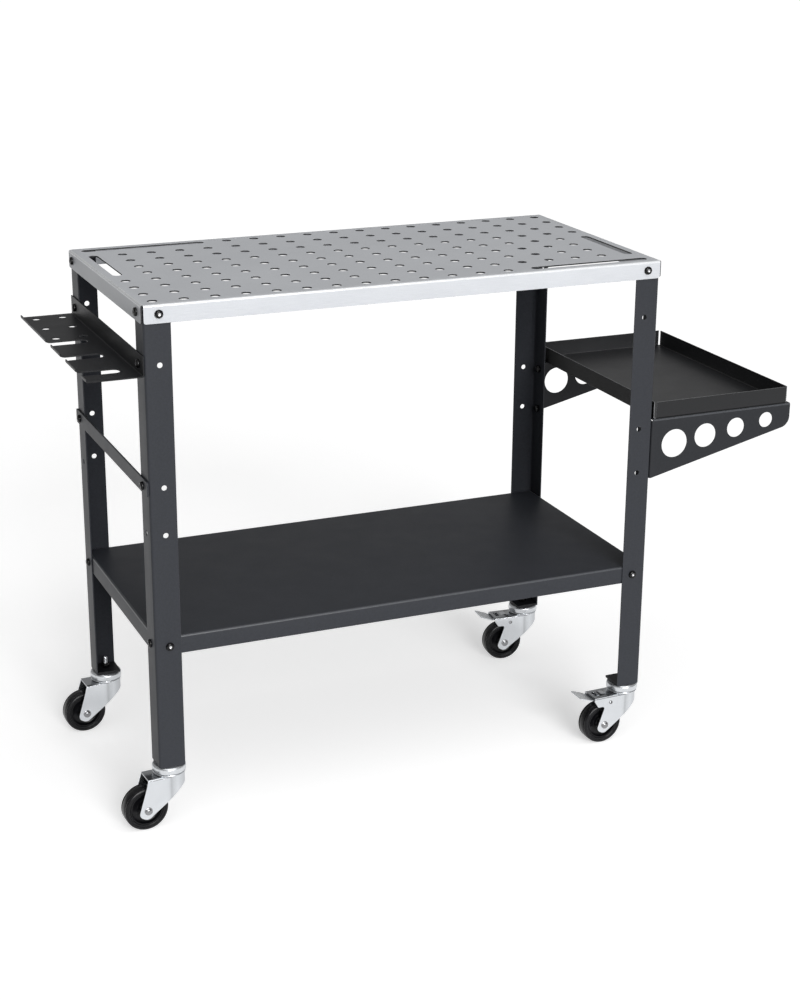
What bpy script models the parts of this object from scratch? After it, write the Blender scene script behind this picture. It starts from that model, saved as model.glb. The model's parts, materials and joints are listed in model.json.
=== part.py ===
# Mobile welding table: perforated steel top on four angle legs, with a lower shelf, a side tray on
# two brackets, a tool rack and four swivel casters, two of them braked.
# Metres, +Z up. The origin is on the floor, under the middle of the overall box.
# +X is towards the tray, -Y is the front.

import math

import bmesh
import bpy
from mathutils import Matrix, Vector

# Clearances
CONTACT_GAP = 0.0003
RUNNING_GAP = 0.0004
BOLT_CLEARANCE = 0.001
CUT_PAST = 0.002
WELD = 0.000001

# Worktop: a folded pan with a square grid of clamp holes and four slots
TOP_LENGTH = 0.914
TOP_DEPTH = 0.457
TOP_SHEET = 0.0025
TOP_FLANGE = 0.030
TOP_BEND = 0.002
HOLE_DIAMETER = 0.016
HOLE_PITCH = 0.0508
HOLE_MARGIN = 0.025
END_SLOT_PITCHES = 3
SIDE_SLOT_PITCHES = 4
CORNER_SLIT = 0.0003

# Legs: bent angle with a foot plate
LEG_LENGTH = 0.7822
LEG_WIDTH = 0.0445
LEG_SHEET = 0.002
LEG_BEND = 0.003
LEG_HOLE_INSET = 0.025
FOOT_PLATE = 0.004
RACK_BOLT_DROP = 0.097
UPPER_HOLE_DROP = 0.297
LOWER_HOLE_DROP = 0.377

# Lower shelf
SHELF_RISE = 0.201
SHELF_SHEET = 0.002
SHELF_FLANGE = 0.031
SHELF_BEND = 0.0015

# Bolts with button heads and hex nuts
BOLT_DIAMETER = 0.008
HEAD_DIAMETER = 0.014
HEAD_HEIGHT = 0.0045
NUT_WIDTH = 0.013
NUT_HEIGHT = 0.006

# Side tray and its two brackets
TRAY_LENGTH = 0.275
TRAY_OFFSET = 0.005
TRAY_SHEET = 0.0015
TRAY_WALL = 0.0305
TRAY_SLIT = 0.002
BRACKET_SHEET = 0.0025
BRACKET_FLANGE = 0.038
BRACKET_PAST = 0.0065
BOLT_TO_FOLD = 0.005
BRACKET_TIP = 0.041
BRACKET_ROUND = 0.020
BRACKET_HOLES = 4
BRACKET_HOLE_SHARE = 0.53
BRACKET_HOLE_START = 0.048
BRACKET_HOLE_END = 0.050

# Tool rack: a folded comb on the left legs
RACK_BACK = 0.034
RACK_REACH = 0.092
RACK_SHEET = 0.002
RACK_LIP = 0.004
RACK_END_FINGER = 0.037
RACK_FINGER = 0.0755
RACK_SLOT = 0.025
RACK_SLOT_DEPTH = 0.066
RACK_ROUND = 0.008
RACK_THROAT_ROUND = 0.010
RACK_HOLE = 0.014
RACK_HOLE_EDGE = 0.022
RACK_HOLE_COLUMNS = 3
RACK_HOLE_ROWS = 2

# Cross bar between the left legs
BAR_HEIGHT = 0.025
BAR_SHEET = 0.003
BAR_ROUND = 0.004

# Casters: stem with race cap, stamped fork, wheel on an axle bolt
WHEEL_RADIUS = 0.038
WHEEL_WIDTH = 0.026
WHEEL_SIDE_GAP = 0.0045
WHEEL_ROOF_GAP = 0.0157
AXLE_TRAIL = 0.045
AXLE_DIAMETER = 0.008
AXLE_HEAD = 0.014
AXLE_HEAD_HEIGHT = 0.004
STEM_DIAMETER = 0.008
STEM_LENGTH = 0.019
STEM_NUT_HEIGHT = 0.006
RACE_DIAMETER = 0.057
RACE_HEIGHT = 0.0165
SWIVEL_GAP = 0.001
KINGPIN_DIAMETER = 0.010
RIVET_DIAMETER = 0.018
RIVET_HEIGHT = 0.0025
FORK_SHEET = 0.0025
NOSE_PAST = 0.0035
FORK_TAIL = 0.0435
FORK_SKIRT = 0.018
FORK_BEND = 0.002
FORK_BOSS = 0.0135
BOSS_GAP = 0.0005
TYRE_THICKNESS = 0.009
RIM_INSET = 0.002
RIM_WALL = 0.0025
HUB_WEB = 0.009
HUB_BOSS = 0.016
TYRE_ROUND = 0.006

# Brake on the two right casters
BRAKE_TAIL = 0.067
BRAKE_CHEEK = 0.019
PIVOT_TRAIL = 0.034
PIVOT_BELOW_ROOF = 0.0127
PIN_DIAMETER = 0.005
PIN_HEAD = 0.008
PIN_HEAD_HEIGHT = 0.0012
PEDAL_SHEET = 0.0025
PEDAL_SIDE_GAP = 0.003
PEDAL_REACH = 0.030
PEDAL_RISE = 0.010
PEDAL_ROUND = 0.010
PEDAL_EYE = 0.0095
PEDAL_ROOF_GAP = 0.001

# Facets
HOLE_SIDES = 8
ROUND_SIDES = 20
TYRE_STEPS = 24
HUB_STEPS = 20
TURNED_STEPS = 16
HEAD_STEPS = 10
FILLET_STEPS = 4

# Swivel of each caster at rest, in degrees from +X to its trailing side
CASTER_TURN = {"front_left": 183.5, "rear_left": 183.5, "front_right": 182.0, "rear_right": 176.0}
BRAKED = ("front_right", "rear_right")

# Corners as signs of X and Y, with the turn that sets a leg into each
CORNERS = {"front_left": (-1, -1), "front_right": (1, -1), "rear_right": (1, 1), "rear_left": (-1, 1)}
LEG_TURN = {"front_left": 0.0, "front_right": 90.0, "rear_right": 180.0, "rear_left": 270.0}

# Places worked out from the sizes above
FORK_TOP = -(CONTACT_GAP + RACE_HEIGHT + SWIVEL_GAP)
FORK_WIDTH = WHEEL_WIDTH + 2 * (WHEEL_SIDE_GAP + FORK_SHEET)
FORK_INSIDE = FORK_WIDTH / 2 - FORK_SHEET
AXLE_DROP = FORK_SHEET + WHEEL_ROOF_GAP + WHEEL_RADIUS - FORK_TOP
AXLE = Vector((AXLE_TRAIL, -AXLE_DROP))
PIVOT_DROP = PIVOT_BELOW_ROOF - FORK_TOP
RIM_RADIUS = WHEEL_RADIUS - TYRE_THICKNESS
LEG_BOTTOM = AXLE_DROP + WHEEL_RADIUS
TOP_Z = LEG_BOTTOM + LEG_LENGTH + CONTACT_GAP + TOP_SHEET
LEG_FACE_X = TOP_LENGTH / 2 - TOP_SHEET - CONTACT_GAP
LEG_FACE_Y = TOP_DEPTH / 2 - TOP_SHEET - CONTACT_GAP
LEG_MIDDLE = LEG_WIDTH / 2
BOLT_HOLE = BOLT_DIAMETER + BOLT_CLEARANCE
TOP_BOLT_DROP = TOP_FLANGE / 2
SHELF_TOP = LEG_BOTTOM + SHELF_RISE + SHELF_FLANGE
SHELF_BOLT_Z = SHELF_TOP - SHELF_FLANGE / 2
BRACKET_EDGE = BRACKET_SHEET + HEAD_DIAMETER / 2 + BOLT_TO_FOLD
BRACKET_ROOT = LOWER_HOLE_DROP - UPPER_HOLE_DROP + 2 * BRACKET_EDGE
BRACKET_TOP = TOP_Z - UPPER_HOLE_DROP + BRACKET_EDGE
BRACKET_START = LEG_FACE_X + CONTACT_GAP
BRACKET_REACH = TRAY_OFFSET + TRAY_LENGTH + BRACKET_PAST
RACK_FACE = LEG_FACE_X + CONTACT_GAP
RACK_TOP = TOP_Z - RACK_BOLT_DROP + RACK_BACK / 2
TABLE_X = (RACK_FACE + RACK_REACH - BRACKET_START - BRACKET_REACH) / 2

# Rotations that stand a flat outline up: its x along X or Y, its y along Z
FACING_Y = Matrix.Rotation(math.radians(90), 4, "X")
FACING_X = Matrix(((0, 0, 1, 0), (1, 0, 0, 0), (0, 1, 0, 0), (0, 0, 0, 1)))

for old in list(bpy.data.objects):
    bpy.data.objects.remove(old)
parts = bpy.data.collections.new("welding_table")
cutters = bpy.data.collections.new("cutters")
bpy.context.scene.collection.children.link(parts)
bpy.context.scene.collection.children.link(cutters)
root = bpy.data.objects.new("table_frame", None)
parts.objects.link(root)


def material(name, colour, metallic, roughness):
    made = bpy.data.materials.new(name)
    made.use_nodes = True
    shader = made.node_tree.nodes["Principled BSDF"]
    shader.inputs["Base Color"].default_value = (*colour, 1.0)
    shader.inputs["Metallic"].default_value = metallic
    shader.inputs["Roughness"].default_value = roughness
    made.diffuse_color = (*colour, 1.0)
    return made


def mesh_from(name, bm):
    bmesh.ops.recalc_face_normals(bm, faces=bm.faces)
    mesh = bpy.data.meshes.new(name)
    bm.to_mesh(mesh)
    bm.free()
    return mesh


def baked(obj):
    # The evaluated mesh of an object, welded, with the object and its cutters removed
    bpy.context.view_layer.update()
    graph = bpy.context.evaluated_depsgraph_get()
    bm = bmesh.new()
    bm.from_mesh(bpy.data.meshes.new_from_object(obj.evaluated_get(graph)))
    bmesh.ops.remove_doubles(bm, verts=bm.verts, dist=WELD)
    name = obj.name
    for modifier in obj.modifiers:
        if modifier.type == "BOOLEAN":
            bpy.data.objects.remove(modifier.object)
    bpy.data.objects.remove(obj)
    return mesh_from(name, bm)


def piece(name, mesh, look, parent=root, location=(0, 0, 0), rotation=(0, 0, 0)):
    obj = bpy.data.objects.new(name, mesh)
    parts.objects.link(obj)
    obj.parent = parent
    obj.location = location
    obj.rotation_euler = rotation
    if not mesh.materials:
        mesh.materials.append(look)
    return obj


def empty(name, parent, location, turn=0.0):
    obj = bpy.data.objects.new(name, None)
    parts.objects.link(obj)
    obj.parent = parent
    obj.location = location
    obj.rotation_euler = (0, 0, math.radians(turn))
    return obj


def cut(obj, mesh, operation="DIFFERENCE"):
    cutter = bpy.data.objects.new(obj.name + "_cutter", mesh)
    cutters.objects.link(cutter)
    cutter.parent = obj.parent
    cutter.hide_render = True
    cutter.display_type = "WIRE"
    boolean = obj.modifiers.new("cut", "BOOLEAN")
    boolean.operation = operation
    boolean.object = cutter


def add_box(bm, low, high):
    low, high = Vector(low), Vector(high)
    place = Matrix.Translation((low + high) / 2) @ Matrix.Diagonal((*(high - low), 1.0))
    return bmesh.ops.create_cube(bm, size=1.0, matrix=place)["verts"]


def add_rod(bm, start, end, diameter, sides):
    start, end = Vector(start), Vector(end)
    turn = Vector((0, 0, 1)).rotation_difference(end - start).to_matrix().to_4x4()
    place = Matrix.Translation((start + end) / 2) @ turn
    bmesh.ops.create_cone(bm, cap_ends=True, segments=sides, radius1=diameter / 2,
                          radius2=diameter / 2, depth=(end - start).length, matrix=place)


def box_mesh(name, *boxes):
    bm = bmesh.new()
    for low, high in boxes:
        add_box(bm, low, high)
    return mesh_from(name, bm)


def rod_mesh(name, rods, sides):
    bm = bmesh.new()
    for start, end, diameter in rods:
        add_rod(bm, start, end, diameter, sides)
    return mesh_from(name, bm)


def joined(name, *meshes):
    bm = bmesh.new()
    for mesh in meshes:
        bm.from_mesh(mesh)
    return mesh_from(name, bm)


def rounded(corners):
    # An outline from (x, y, radius) corners, with an arc of that radius at each
    points = []
    count = len(corners)
    for i, (x, y, radius) in enumerate(corners):
        here = Vector((x, y))
        if radius <= 0:
            points.append(here)
            continue
        back = (Vector(corners[i - 1][:2]) - here).normalized()
        onward = (Vector(corners[(i + 1) % count][:2]) - here).normalized()
        half = back.angle(onward) / 2
        middle = here + (back + onward).normalized() * (radius / math.sin(half))
        first = here + back * (radius / math.tan(half)) - middle
        sweep = first.angle_signed(here + onward * (radius / math.tan(half)) - middle)
        for step in range(FILLET_STEPS + 1):
            arm = first.copy()
            arm.rotate(Matrix.Rotation(-sweep * step / FILLET_STEPS, 2))
            points.append(middle + arm)
    return points


def stadium(start, end, diameter, sides):
    # A slot outline with round ends at two points
    start, end = Vector(start), Vector(end)
    along = math.atan2(end.y - start.y, end.x - start.x)
    points = []
    for centre, facing in ((end, along), (start, along + math.pi)):
        for step in range(sides // 2 + 1):
            angle = facing - math.pi / 2 + 2 * math.pi * step / sides
            points.append(centre + Vector((math.cos(angle), math.sin(angle))) * diameter / 2)
    return points


def outline_mesh(name, points, low, high, stand=Matrix.Identity(4)):
    # A flat outline filled and extruded from low to high along its own normal
    curve = bpy.data.curves.new(name, "CURVE")
    curve.dimensions = "2D"
    curve.fill_mode = "BOTH"
    curve.extrude = (high - low) / 2
    spline = curve.splines.new("POLY")
    spline.points.add(len(points) - 1)
    for target, point in zip(spline.points, points):
        target.co = (point[0], point[1], 0, 1)
    spline.use_cyclic_u = True
    spline.use_smooth = False
    guide = bpy.data.objects.new(name, curve)
    cutters.objects.link(guide)
    mesh = baked(guide)
    mesh.transform(stand @ Matrix.Translation((0, 0, (low + high) / 2)))
    return mesh


def turned_mesh(name, profile, steps, closed=False):
    # A profile of (radius, z) points turned round Z
    mesh = bpy.data.meshes.new(name)
    edges = [(i, i + 1) for i in range(len(profile) - 1)]
    if closed:
        edges.append((len(profile) - 1, 0))
    mesh.from_pydata([(radius, 0, z) for radius, z in profile], edges, [])
    guide = bpy.data.objects.new(name, mesh)
    cutters.objects.link(guide)
    screw = guide.modifiers.new("turn", "SCREW")
    screw.steps = steps
    screw.render_steps = steps
    screw.use_merge_vertices = True
    screw.merge_threshold = WELD
    made = baked(guide)
    made.shade_smooth()
    made.set_sharp_from_angle(angle=math.radians(40))
    return made


def pan_mesh(name, half_x, half_y, low, high, bend):
    # A block with its four top edges rounded
    bm = bmesh.new()
    add_box(bm, (-half_x, -half_y, low), (half_x, half_y, high))
    top = [edge for edge in bm.edges if all(vert.co.z > (low + high) / 2 for vert in edge.verts)]
    bmesh.ops.bevel(bm, geom=top, offset=bend, segments=2, profile=0.5, affect="EDGES")
    return mesh_from(name, bm)


def corner_boxes(half_x, half_y, size, low, high):
    # A small box over each upright corner edge of a pan
    boxes = []
    for sx, sy in CORNERS.values():
        inner = Vector((sx * (half_x - size), sy * (half_y - size)))
        outer = Vector((sx * (half_x + CUT_PAST), sy * (half_y + CUT_PAST)))
        boxes.append(((min(inner.x, outer.x), min(inner.y, outer.y), low),
                      (max(inner.x, outer.x), max(inner.y, outer.y), high)))
    return boxes


def corner_rods(half_x, half_y, z, sheet, diameter):
    # Bolt holes through the front, rear and end flanges of a pan, two by each corner
    bolt_x, bolt_y = LEG_FACE_X - LEG_HOLE_INSET, LEG_FACE_Y - LEG_HOLE_INSET
    rods = []
    for sx, sy in CORNERS.values():
        rods.append(((sx * bolt_x, sy * (half_y - sheet - CUT_PAST), z),
                     (sx * bolt_x, sy * (half_y + CUT_PAST), z), diameter))
        rods.append(((sx * (half_x - sheet - CUT_PAST), sy * bolt_y, z),
                     (sx * (half_x + CUT_PAST), sy * bolt_y, z), diameter))
    return rods


silver = material("zinc_grey_steel", (0.40, 0.41, 0.42), 0.85, 0.42)
charcoal = material("charcoal_powder_coat", (0.055, 0.058, 0.063), 0.1, 0.5)
black = material("black_powder_coat", (0.018, 0.018, 0.019), 0.1, 0.45)
bolt_black = material("black_oxide", (0.012, 0.012, 0.013), 0.6, 0.35)
zinc = material("bright_zinc", (0.62, 0.63, 0.64), 0.9, 0.28)
rubber = material("black_rubber", (0.010, 0.010, 0.011), 0.0, 0.6)
plastic = material("black_plastic", (0.016, 0.016, 0.017), 0.0, 0.4)


def build_worktop():
    half_x, half_y = TOP_LENGTH / 2, TOP_DEPTH / 2
    low, under = TOP_Z - TOP_FLANGE, TOP_Z - TOP_SHEET
    top = piece("worktop", pan_mesh("worktop", half_x, half_y, low, TOP_Z, TOP_BEND), silver)
    cut(top, box_mesh("hollow", ((-half_x + TOP_SHEET, -half_y + TOP_SHEET, low - CUT_PAST),
                                 (half_x - TOP_SHEET, half_y - TOP_SHEET, under))))
    slit = TOP_SHEET + CORNER_SLIT
    cut(top, box_mesh("slits", *corner_boxes(half_x, half_y, slit, low - CUT_PAST, under - CONTACT_GAP)))

    columns = int((TOP_LENGTH - 2 * HOLE_MARGIN) / HOLE_PITCH) + 1
    rows = int((TOP_DEPTH - 2 * HOLE_MARGIN) / HOLE_PITCH) + 1
    grid_x = [(i - (columns - 1) / 2) * HOLE_PITCH for i in range(columns)]
    grid_y = [(j - (rows - 1) / 2) * HOLE_PITCH for j in range(rows)]
    slots = [[(0, j) for j in range(rows - 2 - END_SLOT_PITCHES, rows - 1)],
             [(i, 0) for i in range(columns - 1 - SIDE_SLOT_PITCHES, columns)]]
    # The same slots again, half a turn round
    slots += [[(columns - 1 - i, rows - 1 - j) for i, j in slot] for slot in slots]
    slotted = [cell for slot in slots for cell in slot]
    rods = []
    for i, x in enumerate(grid_x):
        for j, y in enumerate(grid_y):
            if (i, j) not in slotted:
                rods.append(((x, y, under - CUT_PAST), (x, y, TOP_Z + CUT_PAST), HOLE_DIAMETER))
    holes = [rod_mesh("clamp_holes", rods, HOLE_SIDES)]
    for slot in slots:
        ends = [(grid_x[i], grid_y[j]) for i, j in (slot[0], slot[-1])]
        shape = stadium(*ends, HOLE_DIAMETER, 2 * HOLE_SIDES)
        holes.append(outline_mesh("slot", shape, under - CUT_PAST, TOP_Z + CUT_PAST))
    flange_holes = corner_rods(half_x, half_y, TOP_Z - TOP_BOLT_DROP, TOP_SHEET, BOLT_HOLE)
    holes.append(rod_mesh("flange_holes", flange_holes, HOLE_SIDES))
    cut(top, joined("holes", *holes))


def build_legs():
    # One leg, outer corner at its own origin, set into the four corners by quarter turns
    square = rounded([(0, 0, LEG_BEND), (LEG_WIDTH, 0, 0), (LEG_WIDTH, LEG_WIDTH, 0), (0, LEG_WIDTH, 0)])
    leg = piece("leg", outline_mesh("leg", square, 0, LEG_LENGTH), charcoal, parent=None)
    past = LEG_WIDTH + CUT_PAST
    cut(leg, box_mesh("inside", ((LEG_SHEET, LEG_SHEET, FOOT_PLATE), (past, past, LEG_LENGTH + CUT_PAST))))
    rods = []
    heights = [TOP_Z - drop for drop in (TOP_BOLT_DROP, RACK_BOLT_DROP, UPPER_HOLE_DROP, LOWER_HOLE_DROP)]
    inner = LEG_SHEET + CUT_PAST
    for z in [height - LEG_BOTTOM for height in heights + [SHELF_BOLT_Z]]:
        rods.append(((LEG_HOLE_INSET, -CUT_PAST, z), (LEG_HOLE_INSET, inner, z), BOLT_HOLE))
        rods.append(((-CUT_PAST, LEG_HOLE_INSET, z), (inner, LEG_HOLE_INSET, z), BOLT_HOLE))
    rods.append(((LEG_MIDDLE, LEG_MIDDLE, -CUT_PAST), (LEG_MIDDLE, LEG_MIDDLE, FOOT_PLATE + CUT_PAST),
                 STEM_DIAMETER + BOLT_CLEARANCE))
    cut(leg, rod_mesh("holes", rods, HOLE_SIDES))
    mesh = baked(leg)
    for corner, (sx, sy) in CORNERS.items():
        place = (sx * LEG_FACE_X, sy * LEG_FACE_Y, LEG_BOTTOM)
        piece("leg_" + corner, mesh, charcoal, root, place, (0, 0, math.radians(LEG_TURN[corner])))


def build_shelf():
    half_x = LEG_FACE_X - LEG_SHEET - CONTACT_GAP
    half_y = LEG_FACE_Y - LEG_SHEET - CONTACT_GAP
    high = SHELF_TOP
    low, under = high - SHELF_FLANGE, high - SHELF_SHEET
    shelf = piece("lower_shelf", pan_mesh("lower_shelf", half_x, half_y, low, high, SHELF_BEND), charcoal)
    cut(shelf, box_mesh("hollow", ((-half_x + SHELF_SHEET, -half_y + SHELF_SHEET, low - CUT_PAST),
                                   (half_x - SHELF_SHEET, half_y - SHELF_SHEET, under))))
    slit = SHELF_SHEET + CORNER_SLIT
    cut(shelf, box_mesh("slits", *corner_boxes(half_x, half_y, slit, low - CUT_PAST, under - CONTACT_GAP)))
    rods = corner_rods(half_x, half_y, SHELF_BOLT_Z, SHELF_SHEET, BOLT_HOLE)
    cut(shelf, rod_mesh("holes", rods, HOLE_SIDES))


def build_tray():
    start = LEG_FACE_X + TRAY_OFFSET
    end = start + TRAY_LENGTH
    low = BRACKET_TOP + CONTACT_GAP
    high = low + TRAY_WALL
    middle = (start + end) / 2
    tray = piece("side_tray", box_mesh("side_tray", ((start, -LEG_FACE_Y, low), (end, LEG_FACE_Y, high))), black)
    cut(tray, box_mesh("inside", ((start + TRAY_SHEET, -LEG_FACE_Y + TRAY_SHEET, low + TRAY_SHEET),
                                  (end - TRAY_SHEET, LEG_FACE_Y - TRAY_SHEET, high + CUT_PAST))))
    slit = TRAY_SHEET + TRAY_SLIT
    corners = box_mesh("slits", *corner_boxes(TRAY_LENGTH / 2, LEG_FACE_Y, slit,
                                              low + TRAY_SHEET + CONTACT_GAP, high + CUT_PAST))
    corners.transform(Matrix.Translation((middle, 0, 0)))
    cut(tray, corners)


def build_brackets():
    # A folded gusset: its plate faces out, with flanges under the tray and on the leg
    end = BRACKET_START + BRACKET_REACH
    bottom = BRACKET_TOP - BRACKET_ROOT
    shape = rounded([(BRACKET_START, BRACKET_TOP, 0), (BRACKET_START, bottom, 0),
                     (end, BRACKET_TOP - BRACKET_TIP, BRACKET_ROUND), (end, BRACKET_TOP, 0)])
    spacing = (BRACKET_REACH - BRACKET_HOLE_START - BRACKET_HOLE_END) / (BRACKET_HOLES - 1)
    for label, side in (("front", -1), ("rear", 1)):
        name = "tray_bracket_" + label
        outer, inner = side * LEG_FACE_Y, side * (LEG_FACE_Y - BRACKET_FLANGE)
        # A standing outline runs along -Y, so its ends change sign
        block = outline_mesh(name, shape, min(-outer, -inner), max(-outer, -inner), FACING_Y)
        bracket = piece(name, block, charcoal)
        plate, past = side * (LEG_FACE_Y - BRACKET_SHEET), side * (LEG_FACE_Y - BRACKET_FLANGE - CUT_PAST)
        cut(bracket, box_mesh("folds", ((BRACKET_START + BRACKET_SHEET, min(plate, past), bottom - CUT_PAST),
                                        (end + CUT_PAST, max(plate, past), BRACKET_TOP - BRACKET_SHEET))))
        large = []
        for i in range(BRACKET_HOLES):
            reach = BRACKET_HOLE_START + i * spacing
            height = BRACKET_ROOT + (BRACKET_TIP - BRACKET_ROOT) * reach / BRACKET_REACH
            x, z = BRACKET_START + reach, BRACKET_TOP - height / 2
            large.append(((x, outer + side * CUT_PAST, z), (x, plate - side * CUT_PAST, z),
                          height * BRACKET_HOLE_SHARE))
        small = []
        for drop in (UPPER_HOLE_DROP, LOWER_HOLE_DROP):
            y, z = side * (LEG_FACE_Y - LEG_HOLE_INSET), TOP_Z - drop
            small.append(((BRACKET_START - CUT_PAST, y, z),
                          (BRACKET_START + BRACKET_SHEET + CUT_PAST, y, z), BOLT_HOLE))
        cut(bracket, joined("holes", rod_mesh("large", large, ROUND_SIDES), rod_mesh("small", small, HOLE_SIDES)))


def build_rack():
    outer, back = -(RACK_FACE + RACK_REACH), -RACK_FACE
    low = RACK_TOP - RACK_BACK
    floor = low + RACK_SHEET
    fold = [(outer, low), (back, low), (back, RACK_TOP), (back - RACK_SHEET, RACK_TOP), (back - RACK_SHEET, floor),
            (outer + RACK_SHEET, floor), (outer + RACK_SHEET, floor + RACK_LIP), (outer, floor + RACK_LIP)]
    rack = piece("tool_rack", outline_mesh("tool_rack", fold, -LEG_FACE_Y, LEG_FACE_Y, FACING_Y), black)

    # Slots from the front end back, each with rounded finger tips at its mouth
    holes = []
    start = -LEG_FACE_Y + RACK_END_FINGER
    for finger in (RACK_FINGER, RACK_FINGER, 0):
        end = start + RACK_SLOT
        past, throat = outer - CUT_PAST, outer + RACK_SLOT_DEPTH
        turn = min(RACK_THROAT_ROUND, RACK_SLOT * 0.45)
        tips = rounded([(past, start - RACK_ROUND - CUT_PAST, 0), (outer, start - RACK_ROUND - CUT_PAST, 0),
                        (outer, start, RACK_ROUND), (throat, start, turn),
                        (throat, end, turn), (outer, end, RACK_ROUND),
                        (outer, end + RACK_ROUND + CUT_PAST, 0), (past, end + RACK_ROUND + CUT_PAST, 0)])
        holes.append(outline_mesh("slot", tips, low - CUT_PAST, floor + RACK_LIP + CUT_PAST))
        start = end + finger

    # Tool holes in the wide finger that is left at the rear
    near, far = start + RACK_HOLE_EDGE, LEG_FACE_Y - RACK_HOLE_EDGE
    left, right = outer + RACK_HOLE_EDGE, back - RACK_SHEET - RACK_HOLE_EDGE
    rods = []
    for i in range(RACK_HOLE_COLUMNS):
        for j in range(RACK_HOLE_ROWS):
            x = left + (right - left) * j / (RACK_HOLE_ROWS - 1)
            y = near + (far - near) * i / (RACK_HOLE_COLUMNS - 1)
            rods.append(((x, y, low - CUT_PAST), (x, y, floor + CUT_PAST), RACK_HOLE))
    holes.append(rod_mesh("tool_holes", rods, TURNED_STEPS))
    bolts = []
    for side in (-1, 1):
        y, z = side * (LEG_FACE_Y - LEG_HOLE_INSET), TOP_Z - RACK_BOLT_DROP
        bolts.append(((back - RACK_SHEET - CUT_PAST, y, z), (back + CUT_PAST, y, z), BOLT_HOLE))
    holes.append(rod_mesh("bolt_holes", bolts, HOLE_SIDES))
    cut(rack, joined("holes", *holes))


def build_bar():
    z = TOP_Z - UPPER_HOLE_DROP
    low, high = z - BAR_HEIGHT / 2, z + BAR_HEIGHT / 2
    shape = rounded([(-LEG_FACE_Y, low, BAR_ROUND), (LEG_FACE_Y, low, BAR_ROUND),
                     (LEG_FACE_Y, high, BAR_ROUND), (-LEG_FACE_Y, high, BAR_ROUND)])
    bar = piece("cross_bar", outline_mesh("cross_bar", shape, -RACK_FACE - BAR_SHEET, -RACK_FACE, FACING_X), charcoal)
    rods = []
    for side in (-1, 1):
        y = side * (LEG_FACE_Y - LEG_HOLE_INSET)
        rods.append(((-RACK_FACE - BAR_SHEET - CUT_PAST, y, z), (-RACK_FACE + CUT_PAST, y, z), BOLT_HOLE))
    cut(bar, rod_mesh("holes", rods, HOLE_SIDES))


def bolt_mesh(name, grip):
    # Head on +Z, seat at Z 0, nut below the grip
    seat, shank = CONTACT_GAP, BOLT_DIAMETER / 2
    nut_top = -grip - CONTACT_GAP
    crown, edge = HEAD_DIAMETER * 0.32, HEAD_DIAMETER / 2
    profile = [(0, seat + HEAD_HEIGHT), (crown, seat + HEAD_HEIGHT), (edge * 0.92, seat + HEAD_HEIGHT * 0.55),
               (edge, seat), (shank, seat), (shank, nut_top - NUT_HEIGHT / 2), (0, nut_top - NUT_HEIGHT / 2)]
    bolt = piece(name, turned_mesh(name, profile, HEAD_STEPS), bolt_black, parent=None)
    across_corners = NUT_WIDTH / math.cos(math.radians(30))
    nut = rod_mesh("nut", [((0, 0, nut_top - NUT_HEIGHT), (0, 0, nut_top), across_corners)], 6)
    cut(bolt, nut, "UNION")
    return baked(bolt)


def build_bolts():
    top_mesh = bolt_mesh("top_bolt", TOP_SHEET + CONTACT_GAP + LEG_SHEET)
    shelf_mesh = bolt_mesh("shelf_bolt", LEG_SHEET + CONTACT_GAP + SHELF_SHEET)
    tray_mesh = bolt_mesh("tray_bolt", BRACKET_SHEET + CONTACT_GAP + LEG_SHEET)
    rack_mesh = bolt_mesh("rack_bolt", RACK_SHEET + CONTACT_GAP + LEG_SHEET)
    bar_mesh = bolt_mesh("bar_bolt", BAR_SHEET + CONTACT_GAP + LEG_SHEET)
    quarter = math.radians(90)
    bolt_x, bolt_y = LEG_FACE_X - LEG_HOLE_INSET, LEG_FACE_Y - LEG_HOLE_INSET
    for corner, (sx, sy) in CORNERS.items():
        to_y, to_x = (-sy * quarter, 0, 0), (0, sx * quarter, 0)
        z = TOP_Z - TOP_BOLT_DROP
        piece(f"top_bolt_{corner}_face", top_mesh, bolt_black, root, (sx * bolt_x, sy * TOP_DEPTH / 2, z), to_y)
        piece(f"top_bolt_{corner}_end", top_mesh, bolt_black, root, (sx * TOP_LENGTH / 2, sy * bolt_y, z), to_x)
        z = SHELF_BOLT_Z
        piece(f"shelf_bolt_{corner}_face", shelf_mesh, bolt_black, root, (sx * bolt_x, sy * LEG_FACE_Y, z), to_y)
        piece(f"shelf_bolt_{corner}_end", shelf_mesh, bolt_black, root, (sx * LEG_FACE_X, sy * bolt_y, z), to_x)
        label = corner.split("_")[0]
        upper, lower = TOP_Z - UPPER_HOLE_DROP, TOP_Z - LOWER_HOLE_DROP
        if sx > 0:
            seat = BRACKET_START + BRACKET_SHEET
            piece(f"tray_bolt_{label}_upper", tray_mesh, bolt_black, root, (seat, sy * bolt_y, upper), to_x)
            piece(f"tray_bolt_{label}_lower", tray_mesh, bolt_black, root, (seat, sy * bolt_y, lower), to_x)
        else:
            z = TOP_Z - RACK_BOLT_DROP
            piece(f"rack_bolt_{label}", rack_mesh, bolt_black, root, (-RACK_FACE - RACK_SHEET, sy * bolt_y, z), to_x)
            piece(f"bar_bolt_{label}", bar_mesh, bolt_black, root, (-RACK_FACE - BAR_SHEET, sy * bolt_y, upper), to_x)


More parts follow.
